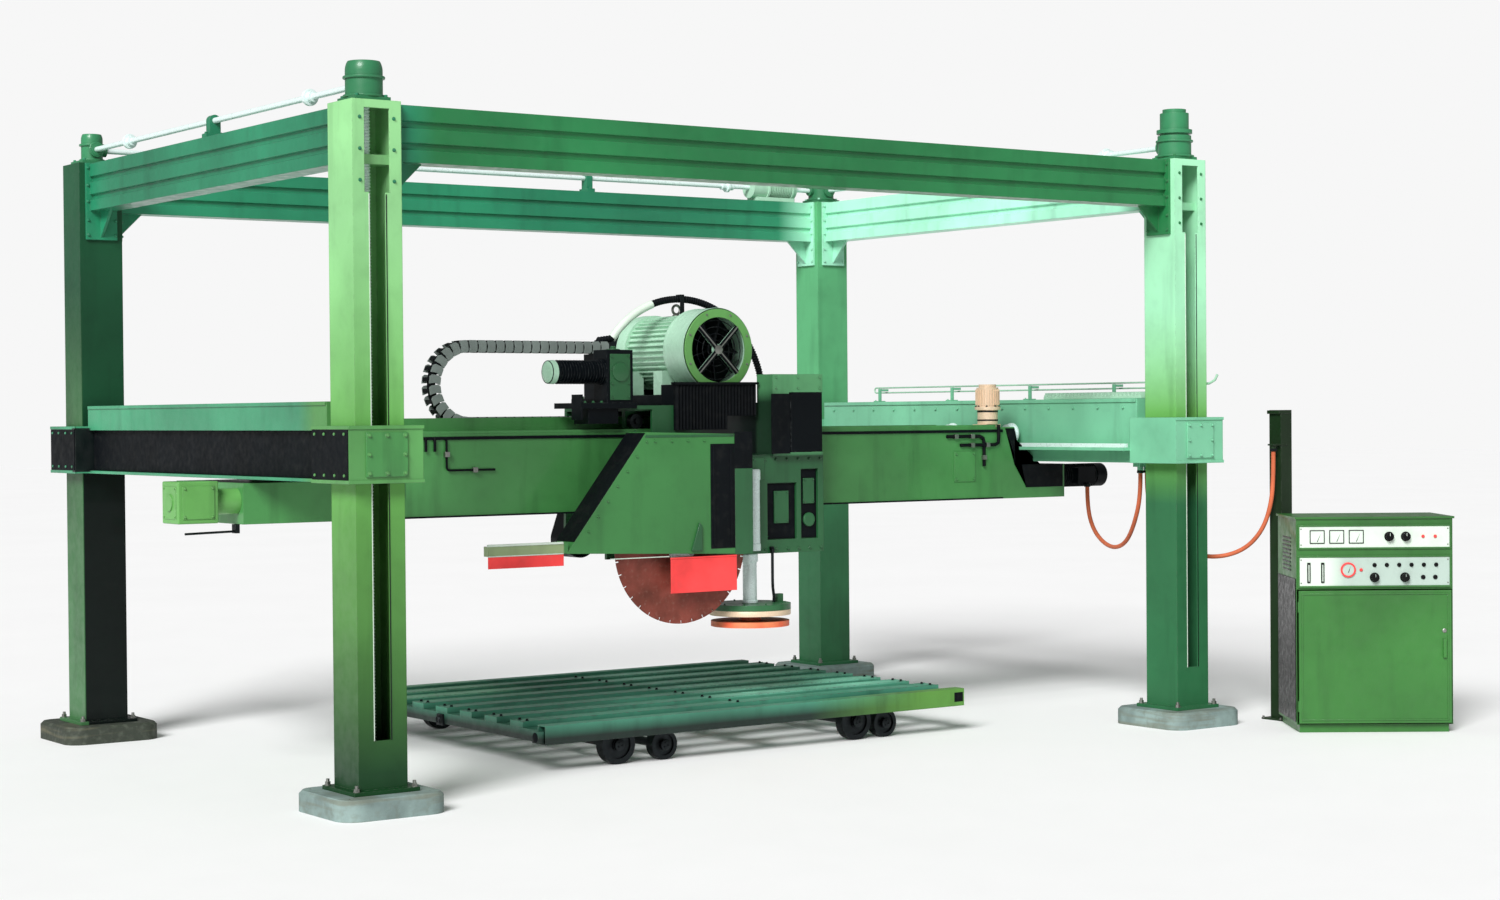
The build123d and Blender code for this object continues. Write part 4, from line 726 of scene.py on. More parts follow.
def make_collar_covers():
    """Bolted cover over the slot on each collar, with its rows of bolts and welded edge bands, and black
    sheets on the left collars' outer faces that stand for painted shade.
    """
    covers, bolts, bands, sheets, patch = (Build() for _ in range(5))
    over = COLLAR_HALF + 0.005
    for corner, foot in FEET.items():
        out, face = outward(foot)
        x, y = foot.x + out * COLLAR_HALF, foot.y + face * COLLAR_HALF
        plate = y + face * 0.012
        cover = patch if corner == "front_left" else covers
        cover.box((foot.x - 0.14, y, COLLAR_LOW + 0.04), (foot.x + 0.14, plate, COLLAR_HIGH - 0.04))
        spots = [(dx, z) for dx in (-0.12, 0.0, 0.12) for z in (COLLAR_LOW + 0.06, COLLAR_HIGH - 0.06)]
        spots += [(dx, (COLLAR_LOW + COLLAR_HIGH) / 2) for dx in (-0.12, 0.12)]
        bolts.bolts([(foot.x + dx, plate, z) for dx, z in spots], face * Y, 0.010)
        for dy in (-0.20, -0.07, 0.07, 0.20):
            heights = (COLLAR_LOW + 0.05, COLLAR_HIGH - 0.05)
            bolts.bolts([(x, foot.y + dy, z) for z in heights], out * X, 0.010)
        # Black sheet on the outer face of each left collar: painted shade.
        if out < 0:
            sheets.box((x - 0.0066, foot.y - 0.243, COLLAR_LOW + 0.023),
                       (x, foot.y + 0.243, COLLAR_HIGH - 0.023))
        for z in (COLLAR_LOW, COLLAR_HIGH - 0.022):
            bands.box((foot.x - over, y, z), (foot.x + over, y + face * 0.007, z + 0.022))
            bands.box((x, foot.y - over, z), (x + out * 0.007, foot.y + over, z + 0.022))
    covers.make("collar_covers", "carriage_enamel", "lift_frame", 0.002)
    patch.make("collar_cover_front_left", "bridge_enamel", "lift_frame", 0.002)
    sheets.make("collar_side_shade_sheets", "black_rubber", "lift_frame", 0.001)
    bands.make("collar_bands", "carriage_enamel", "lift_frame", 0.001)
    bolts.make("collar_bolts", "carriage_enamel", "lift_frame", 0.0006)


def make_side_beam_details():
    """Bolts along the side beams' webs, and a rolled lip on both edges of each cap."""
    bolts, lips = Build(), Build()
    for side in SIDES:
        inner = side * SIDE_INNER
        bolts.bolts([(inner, y, 2.44) for y in spread(-1.85, 1.85, 14)], -side * X, 0.010)
        lips.box((inner - side * 0.010, -SIDE_END, SIDE_TOP - 0.030), (inner, SIDE_END, SIDE_TOP))
        lips.box((side * SIDE_OUTER, -SIDE_END, SIDE_TOP - 0.024),
                 (side * (SIDE_OUTER + 0.008), SIDE_END, SIDE_TOP))
    bolts.make("side_beam_bolts", "carriage_enamel", "lift_frame", 0.0006)
    lips.make("side_beam_lips", "carriage_enamel", "lift_frame", 0.002)


def make_cable_rail():
    """Raised rail over the right side beam: a long closed loop of bar on posts, with an end hook."""
    x, z = 3.66, 2.615
    front, rear = -2.05, 1.72
    rail, posts = Build(), Build()
    half = 0.022
    loop = [(x, y, z + half) for y in spread(rear, front, 24)]
    loop += [(x, front - half * math.sin(a), z + half * math.cos(a)) for a in spread(0.2, math.pi - 0.2, 9)]
    loop += [(x, y, z - half) for y in spread(front, rear, 24)]
    loop += [(x, rear + half * math.sin(a), z - half * math.cos(a)) for a in spread(0.2, math.pi - 0.2, 9)]
    rail.tube(loop, 0.007, 10)
    hook = ((front - half, 0), (-2.30, 0), (-2.40, 0.004), (-2.46, 0.03), (-2.485, 0.07))
    rail.tube([(x, y, z + up) for y, up in hook], 0.010, 12)
    for y in (1.55, 0.55, -0.45, -1.45):
        posts.box((3.52, y - 0.035, SIDE_TOP), (3.60, y + 0.035, SIDE_TOP + 0.010))
        posts.box((3.555, y - 0.012, SIDE_TOP + 0.010), (3.575, y + 0.012, z + 0.012))
        posts.box((3.575, y - 0.012, z - 0.010), (x - 0.006, y + 0.012, z + 0.010))
        posts.bolts([(3.535, y + dy, SIDE_TOP + 0.010) for dy in (-0.022, 0.022)], Z, 0.006)
    rail.make("cable_rail", "pale_enamel", "lift_frame")
    posts.make("cable_rail_posts", "carriage_enamel", "lift_frame", 0.001)


def make_beam_cover():
    """Folded way cover lying on the front half of the right side beam."""
    left, front, rear, folds = 3.345, -1.98, -0.86, 26
    outline = [(left, y, SIDE_TOP + (0.052 if i % 2 else 0.016))
               for i, y in enumerate(spread(front, rear, folds * 2 + 1))]
    outline += [(left, rear, SIDE_TOP + 0.001), (left, front, SIDE_TOP + 0.001)]
    Build().prism(outline, (0.15, 0, 0)).make("way_cover", "pale_enamel", "lift_frame")


make_collar_covers()
make_side_beam_details()
make_cable_rail()
make_beam_cover()


# ------------------------------------------------------------------ bridge

GIRDER_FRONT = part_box("bridge_girder")[0].y
GIRDER_TOP = 2.29
GIRDER_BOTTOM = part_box("bridge_girder")[0].z
GIRDER_END = 2.95


def make_girder_trim():
    """Dark strips under the girder's top edge and along its bottom edge, both painted shade, and weld bands
    and inspection covers.
    """
    dark, green, bolts = Build(), Build(), Build()
    # Painted shade: a black strip under the top edge, where the top flange casts its shadow, and one along
    # the bottom edge.
    dark.box((-GIRDER_END, GIRDER_FRONT - 0.010, GIRDER_TOP - 0.040),
             (GIRDER_END, GIRDER_FRONT, GIRDER_TOP - 0.018))
    dark.box((-GIRDER_END, GIRDER_FRONT - 0.008, GIRDER_BOTTOM),
             (GIRDER_END, GIRDER_FRONT, GIRDER_BOTTOM + 0.012))
    face = GIRDER_FRONT - 0.008
    for x in (-2.55, 2.55):
        green.box((x - 0.11, face, 1.86), (x + 0.11, GIRDER_FRONT, 2.10))
        bolts.bolts([(x + dx, face, z) for dx in (-0.09, 0.09) for z in (1.88, 2.08)], -Y, 0.008)
    for x in spread(-2.3, 2.3, 8):
        green.box((x - 0.004, -0.001, GIRDER_BOTTOM + 0.02), (x + 0.004, 0.055, GIRDER_TOP - 0.02))
    for x in spread(-2.2, 2.2, 4):
        green.box((x - 0.14, -0.001, 1.84), (x + 0.14, 0.008, 2.14))
        bolts.bolts([(x + dx, 0.008, z) for dx in (-0.12, 0.12) for z in (1.86, 2.12)], Y, 0.008)
    dark.make("girder_shade_strips", "black_enamel", "bridge", 0.001)
    green.make("girder_covers", "bridge_enamel", "bridge", 0.001)
    bolts.make("girder_bolts", "bridge_enamel", "bridge", 0.0006)


def make_girder_pipes():
    """Thin black conduit on the left of the girder and the pump's pipes on its right."""
    y = GIRDER_FRONT - 0.014
    runs = [(0.008, 10, ((-2.12, 2.25), (-2.12, 2.06), (-2.112, 2.045), (-2.095, 2.04), (-1.74, 2.04)))]
    runs += [(0.010, 10, ((x, 2.27), (x, 2.17))) for x in (-2.35, -2.28, -2.21)]
    runs += [(0.014, 12, ((2.36, 2.22), (2.70, 2.22), (2.735, 2.205), (2.745, 2.17), (2.745, 1.98))),
             (0.014, 12, ((2.50, 2.15), (2.86, 2.15), (2.895, 2.165), (2.90, 2.20), (2.90, 2.31)))]
    pipes = Build()
    for radius, sides, route in runs:
        pipes.tube([(x, y, z) for x, z in route], radius, sides)
    pipes.make("girder_pipes", "black_rubber", "bridge")
    clips = Build()
    for x, z in ((-2.12, 2.15), (-1.90, 2.04), (2.45, 2.22), (2.62, 2.22), (2.62, 2.15), (2.78, 2.15),
                 (2.745, 2.05)):
        clips.box((x - 0.018, y - 0.017, z - 0.018), (x + 0.018, GIRDER_FRONT, z + 0.018))
    clips.make("girder_pipe_clips", "zinc_steel", "bridge", 0.002)


def make_end_shade_sheet():
    """Black sheet over the front of the right end carriage, cut to a wedge under the side beam: painted shade
    where the wheels sit in shadow.
    """
    outline = ((2.98, 2.28), (3.08, 2.28), (3.08, 1.985), (3.60, 1.985), (3.60, 1.80), (3.20, 1.80))
    shade_sheet = Build().prism([(x, -0.800, z) for x, z in outline], (0, -0.005, 0))
    shade_sheet.make("end_carriage_shade_sheet", "black_rubber", "bridge", 0.001)


def make_pump_details():
    """Bands, fins and fan cap of the coolant pump."""
    low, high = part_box("coolant_pump")
    axis = Vector(((low.x + high.x) / 2, GIRDER_FRONT + 0.12, 0))
    band = [(0, 0.081), (0.002, 0.085), (0.012, 0.085), (0.014, 0.081)]
    pump = Build()
    for z in (low.z + 0.05, low.z + 0.12):
        pump.turned(axis + z * Z, Z, band, 40)
    pump.bolts(ring_of(axis + (low.z + 0.165) * Z, Z, 0.095, 8), Z, 0.007)
    pump.make("pump_bands", "dark_steel", "bridge")
    fins = Build()
    foot = axis + (low.z + 0.18) * Z
    for spot in ring_of(foot, Z, 0.088, 28):
        out = (spot - foot).normalized()
        side, tip = out.cross(Z) * 0.0025, spot + out * 0.010
        fins.prism([spot - side, spot + side, tip + side, tip - side], (0, 0, 0.125))
    fins.turned(axis + (high.z - 0.008) * Z, Z,
                [(0, 0.05), (0.002, 0.052), (0.006, 0.048), (0.008, 0.03)], 32)
    fins.make("pump_fins", "copper_metal", "bridge")


def make_bridge_drives():
    """Covers, bolts and fins of the bridge's gearbox and motor, and the limit rod."""
    low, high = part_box("bridge_gearbox")
    mid_y = GIRDER_FRONT + 0.11
    end = low.x + 0.009
    front = low.y - 0.006
    heights = (low.z + 0.045, high.z - 0.045)
    cover, bolts = Build(), Build()
    cover.box((end, mid_y - 0.10, low.z + 0.03), (end + 0.003, mid_y + 0.10, high.z - 0.03))
    bolts.bolts([(end, mid_y + dy, z) for dy in (-0.088, 0.088) for z in heights], -X, 0.005)
    cover.box((-4.05, front, low.z + 0.03), (-3.83, low.y, high.z - 0.03))
    bolts.bolts([(x, front, z) for x in (-4.035, -3.845) for z in heights], -Y, 0.007)
    cover.make("bridge_gearbox_covers", "light_green_enamel", "bridge", 0.0015)
    rod = Build()
    rod.box((-3.64, mid_y - 0.03, 1.655), (-3.61, mid_y + 0.03, GIRDER_BOTTOM))
    rod.tube([(-3.62, mid_y, 1.668), (-3.80, mid_y, 1.664), (-3.98, mid_y, 1.660)], 0.008, 12)
    rod.make("limit_rod", "dark_steel", "bridge", 0.001)
    bolts.make("bridge_gearbox_bolts", "light_green_enamel", "bridge", 0.0006)
    axis_z = 1.885
    fins = discs(Build(), (3.655, mid_y, axis_z), X, 0.096, 0.34, 15)
    cap = Vector((4.120, mid_y, axis_z))
    for spot in ring_of(cap, X, 0.045, 10) + ring_of(cap, X, 0.072, 16):
        fins.turned(spot - 0.004 * X, X, [(0, 0.0075), (0.0055, 0.0075), (0.0055, 0.005)], 10)
    fins.box((3.735, mid_y - 0.156, 1.814), (3.925, mid_y - 0.150, 1.956))
    fins.make("bridge_motor_fins", "black_enamel", "bridge", 0.0005)


make_girder_trim()
make_girder_pipes()
make_end_shade_sheet()
make_pump_details()
make_bridge_drives()


# ------------------------------------------------------------------ drag chain

RUN_LOW, RUN_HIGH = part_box("chain_run")
BEND_LOW, BEND_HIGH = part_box("chain_bend")
CHAIN_Y, CHAIN_Z = middle("chain_run").y, middle("chain_run").z
CHAIN_TALL = RUN_HIGH.z - RUN_LOW.z
CHAIN_HALF = 0.060
BEND_X = BEND_HIGH.x
BEND_RADIUS = BEND_X - BEND_LOW.x - CHAIN_TALL / 2
LOWER_Z = CHAIN_Z - 2 * BEND_RADIUS
LINK_PITCH = 0.0735


def chain_link(shells, bars, place, pitch):
    """One link about the origin of place: two side plates with a waist, and two cross bars."""
    half = pitch * 0.46
    tall = CHAIN_TALL / 2
    turn = place.to_3x3()
    for side in SIDES:
        plate = ((-half, -tall), (half * 0.55, -tall), (half, -tall * 0.62), (half, tall * 0.62),
                 (half * 0.55, tall), (-half, tall), (-half * 0.72, 0))
        shells.prism([place @ Vector((x, side * CHAIN_HALF, z)) for x, z in plate],
                     turn @ (-side * 0.010 * Y))
    y = CHAIN_HALF - 0.008
    for z0, z1 in ((-tall, -tall + 0.010), (tall - 0.010, tall)):
        bar = ((-half * 0.5, z0), (half * 0.35, z0), (half * 0.35, z1), (-half * 0.5, z1))
        bars.prism([place @ Vector((x, -y, z)) for x, z in bar], turn @ (2 * y * Y))


def straight_links(shells, bars, x0, x1, z, shrink=1.0):
    """A level row of links, which may be made slimmer to pass over another row."""
    count = round((x1 - x0) / LINK_PITCH)
    pitch = (x1 - x0) / count
    slim = Matrix.Scale(shrink, 4, Y) @ Matrix.Scale(shrink, 4, Z)
    for i in range(count):
        chain_link(shells, bars, Matrix.Translation((x0 + (i + 0.5) * pitch, CHAIN_Y, z)) @ slim, pitch)


def make_chain_upper():
    """The upper run, which stretches between the carriage and the bend."""
    shells, bars = Build(), Build()
    straight_links(shells, bars, RUN_LOW.x, RUN_HIGH.x, CHAIN_Z)
    cores = Build().box((RUN_LOW.x, CHAIN_Y - 0.040, CHAIN_Z - 0.022),
                        (RUN_HIGH.x, CHAIN_Y + 0.040, CHAIN_Z + 0.018))
    upper = [shells.make("chain_links_upper", "chain_plastic", None),
             bars.make("chain_bars_upper", "black_rubber", None),
             cores.make("chain_cables_upper", "black_rubber", None)]
    for piece in upper:
        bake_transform(piece)
    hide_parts("chain_run")


def make_chain_bend():
    """The bend with the lower run that follows it, and the two cables inside."""
    shells, bars = Build(), Build()
    centre = Vector((BEND_X, CHAIN_Y, CHAIN_Z - BEND_RADIUS))
    count = round(math.pi * BEND_RADIUS / LINK_PITCH)
    for i in range(count):
        angle = math.pi * (i + 0.5) / count
        at = centre + BEND_RADIUS * Vector((-math.sin(angle), 0, math.cos(angle)))
        place = Matrix.Translation(at) @ Matrix.Rotation(-angle, 4, "Y")
        chain_link(shells, bars, place, math.pi * BEND_RADIUS / count)
    straight_links(shells, bars, BEND_X, BEND_X + 1.5, LOWER_Z, 0.97)
    core = [centre + BEND_RADIUS * Vector((-math.sin(a), 0, math.cos(a))) for a in spread(0, math.pi, 25)]
    core += [Vector((x, CHAIN_Y, LOWER_Z)) for x in spread(BEND_X + 0.1, BEND_X + 1.49, 8)]
    links = shells.make("chain_links_bend", "chain_plastic", "chain_loop")
    bars.make("chain_bars_bend", "black_rubber", "chain_loop")
    for name, dy in (("front", -0.022), ("rear", 0.022)):
        cable = Build().tube([point + dy * Y for point in core], 0.020, 12)
        cable.make(f"chain_cable_{name}", "black_rubber", "chain_loop")
    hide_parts("chain_bend")


def make_chain_fixed():
    """The links that lie still on the bridge, and the bracket that holds the chain's end."""
    shells, bars = Build(), Build()
    straight_links(shells, bars, -0.79, 0.70, LOWER_Z)
    shells.box((0.66, CHAIN_Y - 0.068, GIRDER_TOP), (0.74, CHAIN_Y + 0.068, LOWER_Z + 0.052))
    shells.make("chain_links_fixed", "chain_plastic", "bridge")
    bars.make("chain_bars_fixed", "black_rubber", "bridge")


make_chain_upper()
make_chain_bend()
make_chain_fixed()


# ------------------------------------------------------------------ saw carriage

HOOD_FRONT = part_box("blade_hood")[0].y
HOOD_TOP, HOOD_LIP = Vector((-0.790, 0, 2.290)), Vector((-1.450, 0, 1.459))
MOTOR = Vector(JOINTS["rotor_turn"]["pos_m"])
MOTOR_FRONT = -0.812
APRON_FRONT = -0.900


def make_hood_dressing():
    """Black sheets and strips on the hood, standing for painted shade on its sloping side and in the gap at
    its right, its folds and bolts, and the shelf's red strip and pale edges.
    """
    front = HOOD_FRONT
    black, red, pale, green = (Build() for _ in range(4))
    slope = (HOOD_LIP - HOOD_TOP).normalized()
    out = Vector((slope.z, 0, -slope.x)) * 0.005
    upper, lower = HOOD_TOP + slope * 0.01, HOOD_LIP - slope * 0.10
    # Black sheet on the hood's sloping side: painted shade.
    side = [p + (front + 0.004) * Y for p in (upper, lower, lower + out, upper + out)]
    black.prism(side, (0, (APRON_FRONT - front) * 0.62, 0))
    # Tall black panel and its strips at the hood's right: painted shade in the gap there.
    black.box((-0.245, front - 0.005, 1.450), (-0.034, front, 2.200))
    for x in (-0.225, -0.075):
        black.box((x, front - 0.011, 1.470), (x + 0.020, front - 0.005, 2.180))
    black.box((-0.034, front - 0.004, 2.020), (0.124, front, 2.285))
    black.make("hood_black_sheets", "black_rubber", "saw_carriage", 0.0015)
    red.box((-2.070, front, 1.378), (-1.476, front + 0.006, 1.462))
    red.make("hood_red_strips", "red_rubber", "saw_carriage", 0.001)
    # Pale lines on the hood's bottom edge and the shelf's top edges: painted highlights.
    pale.box((-1.10, front - 0.004, 1.404), (-0.605, front, 1.411))
    pale.box((-2.074, front - 0.005, 1.528), (-1.480, front + 0.012, 1.544))
    pale.box((-2.074, front - 0.004, 1.458), (-1.480, front, 1.466))
    pale.make("shelf_edge_highlights", "panel_paint", "saw_carriage", 0.001)
    green.box((-0.034, front - 0.004, 1.400), (0.124, front, 2.020))
    rib = ((-0.420, 1.440), (-0.330, 1.440), (-0.330, 1.620), (-0.350, 1.640))
    green.prism([(x, front, z) for x, z in rib], (0, -0.018, 0))
    green.box((-0.800, front - 0.005, 2.252), (-0.040, front, 2.268))
    green.make("hood_folds", "head_enamel", "saw_carriage", 0.002)
    bolts = Build().bolts([(x, front, 2.225) for x in spread(-0.72, -0.30, 4)], -Y, 0.008)
    for share in spread(0.08, 0.82, 7):
        spot = HOOD_TOP.lerp(HOOD_LIP, share)
        bolts.bolt((spot.x + 0.055, front, spot.z - 0.004), -Y, 0.007)
    bolts.make("hood_bolts", "hood_enamel", "saw_carriage", 0.0005)


def make_skirt():
    """Black pleated curtain hung from the saddle's front edge, and the dark cradle under the motor: both
    painted shade under the motor.
    """
    back = APRON_FRONT - 0.004
    # Black pieces under the motor: painted shade.
    skirt = Build()
    for x0, x1, low in ((-0.30, 0.16, 2.30), (0.16, 0.42, 2.40)):
        pleats = round((x1 - x0) / 0.028)
        outline = [(x, APRON_FRONT - (0.050 if i % 2 else 0.030), low)
                   for i, x in enumerate(spread(x0, x1, pleats * 2 + 1))]
        skirt.prism(outline + [(x1, back, low), (x0, back, low)], (0, 0, 2.63 - low))
    skirt.box((-0.31, APRON_FRONT - 0.056, 2.630), (0.43, APRON_FRONT + 0.010, 2.648))
    skirt.make("saddle_shade_curtain", "black_rubber", "saw_carriage")
    cradle = Build()
    for x in (MOTOR.x - 0.32, MOTOR.x + 0.31):
        cradle.box((x - 0.008, -0.72, 2.482), (x + 0.008, 0.02, 2.560))
    cradle.box((-0.30, -0.905, 2.482), (0.42, -0.74, 2.630))
    cradle.make("motor_shade_cradle", "black_enamel", "saw_carriage", 0.003)


def make_motor_covers():
    """Lifting eye, terminal box lid, shell bands and bolts of the main motor."""
    x, z = MOTOR.x, MOTOR.z
    eye = Build().turned((x, -0.25, z + 0.262), Z,
                         [(0, 0.030), (0.014, 0.030), (0.018, 0.022), (0.024, 0.014)], 24)
    eye.tube(hoop((x, -0.25, z + 0.316), X, Z, 0.034, 24), 0.010, 12)
    eye.make("motor_lifting_eye", "zinc_steel", "saw_carriage")
    lid = x + 0.364
    shell = Build().box((x + 0.346, -0.338, z - 0.068), (lid, -0.102, z + 0.118))
    shell.bolts([(lid, y, h) for y in (-0.322, -0.118) for h in (z - 0.052, z + 0.102)], X, 0.006)
    shell.turned((x + 0.29, -0.33, z + 0.02), -Y,
                 [(0, 0.022), (0.03, 0.022), (0.03, 0.016), (0.05, 0.015)], 20)
    for y, radius in ((-0.800, 0.312), (-0.560, 0.312), (0.150, 0.284)):
        band = [(0, radius - 0.016), (0, radius - 0.002), (0.002, radius), (0.010, radius),
                (0.012, radius - 0.002), (0.012, radius - 0.016)]
        shell.turned((x, y, z), Y, band, 64, True)
    shell.make("motor_covers", "pale_enamel", "saw_carriage", 0.001)
    bolts = Build().bolts(ring_of((x, 0.162, z), Y, 0.255, 8), Y, 0.009)
    bolts.bolts(ring_of((x, MOTOR_FRONT, z), -Y, 0.276, 8, 0.39), -Y, 0.006)
    for side in SIDES:
        bolts.bolts([(x + side * 0.268, y, 2.585) for y in (-0.455, -0.385, -0.035, 0.035)], side * X, 0.008)
    bolts.make("motor_bolts", "zinc_steel", "saw_carriage", 0.0005)


def make_motor_fan():
    """Pale rim, spokes, dark backing and wire hoops of the motor's front end, and the fan behind them; the
    black backing is painted shade inside the cowl.
    """
    x, z = MOTOR.x, MOTOR.z
    # Black backing: painted shade inside the fan cowl.
    back = Build().turned((x, -0.584, z), Y, [(0, 0.10), (0, 0.285), (0.006, 0.290), (0.010, 0.290)], 64)
    ring = [(0, 0.240), (0, 0.300), (0.003, 0.303), (0.012, 0.303), (0.012, 0.240)]
    rim = Build().turned((x, MOTOR_FRONT, z), Y, ring, 64, True)
    rim.make("motor_fan_rim", "light_green_enamel", "saw_carriage", 0.001)
    spokes = Build()
    for angle in spread(math.radians(45), math.radians(315), 4):
        turn = Matrix.Translation((x, -0.811, z)) @ Matrix.Rotation(angle, 4, "Y")
        layers = ((back, 0, 0.240, 0.019, 0.008), (spokes, -0.003, 0.245, 0.005, 0.004))
        for build, y, end, half, depth in layers:
            bar = ((0.02, -half), (end, -half), (end, half), (0.02, half))
            build.prism([turn @ Vector((reach, y, h)) for reach, h in bar], depth * Y)
    spokes.turned((x, -0.816, z), Y, [(0, 0.030), (0.002, 0.034), (0.006, 0.034)], 32)
    spokes.make("motor_fan_spokes", "zinc_steel", "saw_carriage")
    for radius in (0.07, 0.12, 0.17, 0.22):
        back.tube(hoop((x, -0.772, z), X, Z, radius, 48), 0.0035, 8)
    back.make("motor_fan_backing", "black_enamel", "saw_carriage")
    fan = Build().turned((x, -0.745, z), Y, [(0, 0.030), (0.004, 0.052), (0.075, 0.056), (0.080, 0.040)], 32)
    blade = ((0.050, -0.012), (0.225, -0.026), (0.230, -0.018), (0.050, -0.006))
    for i in range(9):
        turn = Matrix.Translation((x, 0, z)) @ Matrix.Rotation(2 * math.pi * i / 9, 4, "Y")
        fan.prism([turn @ Vector((reach, -0.735, h)) for reach, h in blade],
                  turn.to_3x3() @ Vector((0, 0.10, 0.045)))
    fan.make("motor_fan", "dark_steel", "rotor")


def make_conduit():
    """Ribbed conduit bent over the motor, its pale sleeve at the left, which is a painted highlight, and the
    clamps that hold it.
    """
    centre, radius = Vector((0.17, -0.30, 2.52)), 0.765
    line = [(-0.575, -0.30, 2.930), (-0.560, -0.30, 2.965)]
    line += [centre + radius * Vector((math.cos(a), 0, math.sin(a)))
             for a in spread(math.radians(143), math.radians(12), 44)]
    line += [(0.925, -0.305, 2.62), (0.930, -0.31, 2.56), (0.925, -0.32, 2.50)]
    points = [Vector(p) for p in line]
    pipe = Build().tube(points, 0.023, 16)
    for first, second in zip(points, points[1:]):
        steps = max(1, round((second - first).length / 0.022))
        for i in range(steps):
            at = first.lerp(second, i / steps)
            rib = [(0, 0.022), (0.003, 0.0275), (0.009, 0.0275), (0.012, 0.022)]
            pipe.turned(at, second - first, rib, 16)
    pipe.make("motor_conduit", "black_rubber", "saw_carriage")
    # Pale sleeve over the left part: painted highlight.
    sleeve = Build().tube(points[2:14], 0.031, 18)
    sleeve.make("conduit_highlight_sleeve", "panel_paint", "saw_carriage", 0.001)
    clamps = Build()
    clamps.box((-0.620, -0.345, 2.860), (-0.530, -0.255, 2.905))
    clamps.turned((-0.575, -0.30, 2.900), Z, [(0, 0.036), (0.025, 0.036), (0.035, 0.030)], 6)
    clamps.box((0.880, -0.360, 2.470), (0.975, -0.270, 2.500))
    clamps.box((0.850, -0.345, 2.440), (0.880, -0.285, 2.500))
    top = centre + Vector((0, 0, radius))
    clamps.box((top.x - 0.018, top.y - 0.034, MOTOR.z + 0.262), (top.x + 0.018, top.y - 0.026, top.z + 0.030))
    clamps.box((top.x - 0.018, top.y - 0.034, top.z + 0.026), (top.x + 0.018, top.y + 0.030, top.z + 0.034))
    clamps.make("conduit_clamps", "dark_steel", "saw_carriage", 0.001)


def make_travel_drive():
    """Fins, pale end cap and covers of the carriage's travel gearmotor."""
    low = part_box("carriage_drive")[0]
    y, z = GIRDER_FRONT, 2.72
    plate = y - 0.096
    fins = discs(Build(), (-1.225, y, z), X, 0.086, 0.335, 15)
    fins.make("travel_motor_fins", "black_enamel", "saw_carriage")
    cap = Build().turned((low.x - 0.004, y, z), X,
                         [(0, 0.050), (0.002, 0.074), (0.010, 0.084), (0.050, 0.086), (0.052, 0.083)], 40)
    cap.make("travel_motor_cap", "pale_enamel", "saw_carriage")
    cover = Build().box((-0.835, plate, 2.52), (-0.665, y - 0.090, 2.85))
    cover.turned((-0.75, plate, z), -Y, [(0, 0.070), (0.012, 0.068), (0.016, 0.040)], 36)
    cover.turned((-0.75, y, 2.880), Z,
                 [(0, 0.050), (0.006, 0.050), (0.010, 0.020), (0.024, 0.020), (0.028, 0.014)], 24)
    cover.make("travel_gearbox_covers", "head_enamel", "saw_carriage", 0.0015)
    bolts = Build().bolts([(x, plate, h) for x in (-0.82, -0.68) for h in spread(2.54, 2.83, 4)], -Y, 0.007)
    bolts.bolts([(x, y - 0.095, 2.50) for x in (-1.05, -0.98, -0.91)], Z, 0.010)
    bolts.make("travel_gearbox_bolts", "head_enamel", "saw_carriage", 0.0005)


def make_saddle_bolts():
    """Bolts on the saddle's edges, and its lifting lugs."""
    bolts = Build().bolts([(x, -0.04, 2.480) for x in spread(-0.56, 0.80, 10)], Z, 0.011)
    bolts.bolts([(-0.60, 0.09, z) for z in spread(1.50, 2.40, 6)], Y, 0.009)
    bolts.make("saddle_bolts", "head_enamel", "saw_carriage", 0.0006)
    lugs = Build()
    for x in (-0.55, 0.80):
        lugs.prism([(x, -0.06, 2.478), (x, 0.06, 2.478), (x, 0.04, 2.555), (x, -0.04, 2.555)], (0.022, 0, 0))
    lugs.make("saddle_lugs", "head_enamel", "saw_carriage", 0.004)


def make_belt_guard_bolts():
    """Bolts and raised rings on the rear of the belt guard, over both pulleys."""
    blade = Vector(JOINTS["blade_turn"]["pos_m"])
    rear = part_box("belt_guard")[1].y
    bolts, rings = Build(), Build()
    for axis, radius, count in ((MOTOR, 0.228, 10), (blade, 0.118, 6)):
        centre = Vector((axis.x, rear, axis.z))
        bolts.bolts(ring_of(centre, Y, radius, count), Y, 0.008)
        rings.turned(centre, Y, [(0, radius * 0.62), (0.006, radius * 0.60), (0.006, radius * 0.50),
                                 (0.001, radius * 0.48)], 48)
    bolts.make("belt_guard_bolts", "zinc_steel", "saw_carriage", 0.0005)
    rings.make("belt_guard_rings", "black_enamel", "saw_carriage")


make_hood_dressing()
make_skirt()
make_motor_covers()
make_motor_fan()
make_conduit()
make_travel_drive()
make_saddle_bolts()
make_belt_guard_bolts()


# ------------------------------------------------------------------ horizontal unit

QUILL = Vector(JOINTS["flat_blade_turn"]["pos_m"])
UNIT_FRONT = -1.050
LOUVRE_FRONT = -1.100


